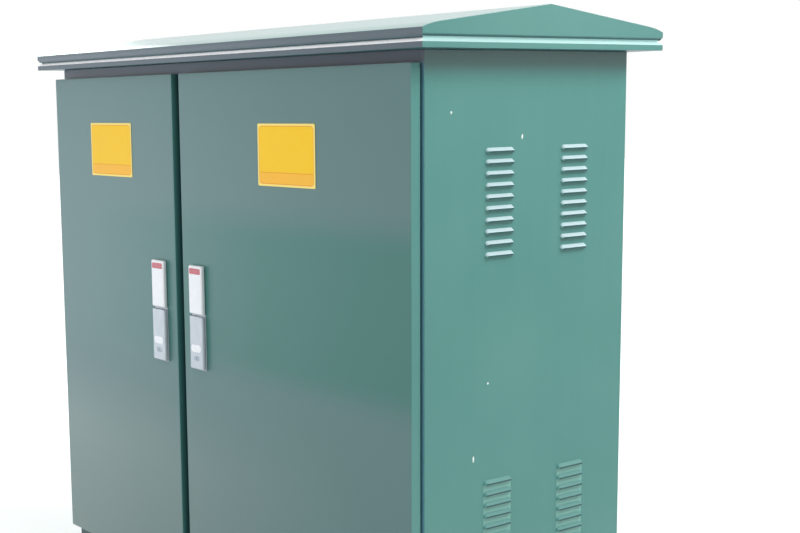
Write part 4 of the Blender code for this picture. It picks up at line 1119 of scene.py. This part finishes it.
for word in ("left", "right"):
    door, handle, cad_plate = "door_" + word, "handle_" + word, "door_%s_lock_plate" % word
    plate_low, plate_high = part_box(cad_plate)
    lever_low, lever_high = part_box(handle)
    x = (plate_low[0] + plate_high[0]) / 2
    half = (plate_high[0] - plate_low[0]) / 2
    lock_level = (plate_low[2] + plate_high[2]) / 2

    # The cover caps the upper half of the case.
    bm = bmesh.new()
    add_block(bm, (x - half, LOCK_FRONT_Y, LOCK_BREAK_Z), (x + half, COVER_REAR_Y, plate_high[2]))
    make_piece("lock_cover_" + word, bm, white_enamel, COVER_RADIUS, door, "lock_steel", cad_plate,
               segments=4)

    # The case is a back plate behind the lever, the housing that passes through
    # the door, and a lug that carries the pin.
    bm = bmesh.new()
    add_block(bm, (x - half, COVER_REAR_Y - BACK_PLATE, plate_low[2]),
              (x + half, COVER_REAR_Y, LOCK_BREAK_Z + BACK_PLATE))
    inside_y = COVER_REAR_Y - BACK_PLATE / 2
    add_block(bm, (x - HOUSING_SIZE[0] / 2, inside_y, lock_level - HOUSING_SIZE[1] / 2),
              (x + HOUSING_SIZE[0] / 2, HOUSING_REAR_Y, lock_level + HOUSING_SIZE[1] / 2))
    outline = [(LUG_RADIUS, inside_y), (-LUG_RADIUS, inside_y)]
    for step in range(LUG_STEPS + 1):
        angle = math.pi * (1 + step / LUG_STEPS)
        outline.append((LUG_RADIUS * math.cos(angle), PIVOT[0] + LUG_RADIUS * math.sin(angle)))
    add_prism(bm, *[[bm.verts.new((x + a * LUG_WIDTH / 2, y, PIVOT[1] + up)) for up, y in outline]
                    for a in (-1, 1)])
    make_piece("lock_case_" + word, bm, lever_enamel, CASE_EDGE, door, "lock_steel", cad_plate, segments=2)

    bm = plaque((x, BAR_LEVEL), BAR_SIZE, BAR_CORNER, BAR_FACES)
    make_piece("lock_bar_" + word, bm, red_enamel, FINE_EDGE, door, None, segments=2)

    # The lever is a thin casting, open behind and at its top, where the pin passes
    # through it.
    bm = bmesh.new()
    add_block(bm, lever_low, lever_high)
    hidden = [face for face in bm.faces if max(face.normal.y, face.normal.z) > LEVER_OPEN_SIDES]
    bmesh.ops.delete(bm, geom=hidden, context="FACES")
    make_piece("lever_" + word, bm, lever_enamel, LEVER_RADIUS, handle, "lock_steel", handle,
               sheet=LEVER_WALL, segments=4)

    bm = bmesh.new()
    turn = Matrix.Rotation(math.pi / 2, 4, "Y")
    bmesh.ops.create_cone(
        bm, cap_ends=True, segments=PIN_SIDES, radius1=PIN_RADIUS, radius2=PIN_RADIUS,
        depth=2 * half - LEVER_WALL, matrix=Matrix.Translation((x, *PIVOT)) @ turn)
    make_piece("lever_pin_" + word, bm, screw_steel, PIN_EDGE, handle, "zinc", segments=2)

    # The thumb pad, the key plate and its slot are let into the lever's face.
    bm = plaque((x, PAD_LEVEL), PAD_SIZE, PAD_CORNER, PAD_FACES, steps=8)
    make_piece("thumb_pad_" + word, bm, white_enamel, PAD_EDGE, handle, "lock_steel", segments=4)

    bm = plaque((x, KEY_LEVEL), KEY_SIZE, KEY_CORNER, KEY_FACES, steps=8)
    make_piece("key_barrel_" + word, bm, key_nickel, FINE_EDGE, handle, "lock_steel", segments=2)
    bm = plaque((x, KEY_LEVEL), SLOT_SIZE, SLOT_CORNER, SLOT_FACES)
    fit(new_piece("key_slot_" + word, bm, keyhole_dark), handle, None)

    finish_nodes(zinc_plate, "door_%s_lock_rod" % word)


# Each door carries one plate of 1.5 mm aluminium, printed in yellow under clear
# lacquer and bonded on. Its edge is a paler yellow, a thin amber line runs round
# inside it, and a second line sets off a band along the foot. It is left blank.
SIGN_SIZE = (0.285, 0.187)
SIGN_CORNER = 0.005
SIGN_FIELD = "#ffca14"
SIGN_MOTTLED = "#ffd234"
SIGN_RIM = "#ffe583"
SIGN_LINE = "#f0a01a"
SIGN_FOOT = "#ffc142"
SIGN_ROUGHNESS = 0.5
SIGN_SPECULAR = 0.25
MOTTLES_PER_METRE = 18.0
LINE_INSET = 0.0080
LINE_CORNER = 0.012
LINE_HALF = 0.0011
FOOT_LINE = -0.052

# The print is a warm, slightly uneven yellow with a low shine. The distance from
# a smaller rectangle gives the rounded line, and what lies past it is the rim.
printed_plate, tree, shader = new_material("printed_aluminium_plate", {
    "Roughness": SIGN_ROUGHNESS, "Specular IOR Level": SIGN_SPECULAR})
plate_map = add_node(tree, "ShaderNodeUVMap", uv_map="plate")
mirrored = add_node(tree, "ShaderNodeVectorMath", {0: plate_map}, operation="ABSOLUTE")
core = (SIGN_SIZE[0] / 2 - LINE_INSET - LINE_CORNER, SIGN_SIZE[1] / 2 - LINE_INSET - LINE_CORNER, 0)
beyond = add_node(tree, "ShaderNodeVectorMath", {0: mirrored, 1: core}, operation="SUBTRACT")
outside = add_node(tree, "ShaderNodeVectorMath", {0: beyond, 1: (0, 0, 0)}, operation="MAXIMUM")
known = {
    "reach": add_node(tree, "ShaderNodeVectorMath", {0: outside}, operation="LENGTH"),
    "height": add_node(tree, "ShaderNodeSeparateXYZ", {0: plate_map}).outputs["Y"]}
for name, operation, *terms in (
        ("past line", "SUBTRACT", "reach", LINE_CORNER), ("rim", "GREATER_THAN", "past line", 0.0),
        ("from line", "ABSOLUTE", "past line"), ("line", "LESS_THAN", "from line", LINE_HALF),
        ("below", "SUBTRACT", FOOT_LINE, "height"), ("foot", "GREATER_THAN", "below", 0.0),
        ("from foot", "ABSOLUTE", "below"), ("foot line", "LESS_THAN", "from foot", LINE_HALF),
        ("inside", "SUBTRACT", 1.0, "rim"), ("inner line", "MULTIPLY", "foot line", "inside"),
        ("lines", "MAXIMUM", "line", "inner line")):
    known[name] = add_node(tree, "ShaderNodeMath", {
        index: known.get(term, term) for index, term in enumerate(terms)}, operation=operation)
feed(shader, {"Base Color": mottle(tree, plate_map, MOTTLES_PER_METRE, 4.0, SIGN_FIELD, SIGN_MOTTLED)[1]})
for share, colour in (("foot", SIGN_FOOT), ("rim", SIGN_RIM), ("lines", SIGN_LINE)):
    overlay(printed_plate, colour, known[share])

for word in ("left", "right"):
    low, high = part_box("door_%s_sign_plate" % word)
    centre = ((low[0] + high[0]) / 2, (low[2] + high[2]) / 2)
    sign = new_piece("sign_plate_" + word, plaque(centre, SIGN_SIZE, SIGN_CORNER, (high[1], low[1])),
                     printed_plate)
    soften(sign, FINE_EDGE, segments=2)
    printed = sign.data.uv_layers.new(name="plate")
    for loop in sign.data.loops:
        spot = sign.data.vertices[loop.vertex_index].co
        printed.data[loop.index].uv = (spot.x - centre[0], spot.z - centre[1])
    fit(sign, "door_" + word, "sign_yellow", "door_%s_sign_plate" % word)


corners = {"cad": cad_corners, "visual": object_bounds()}
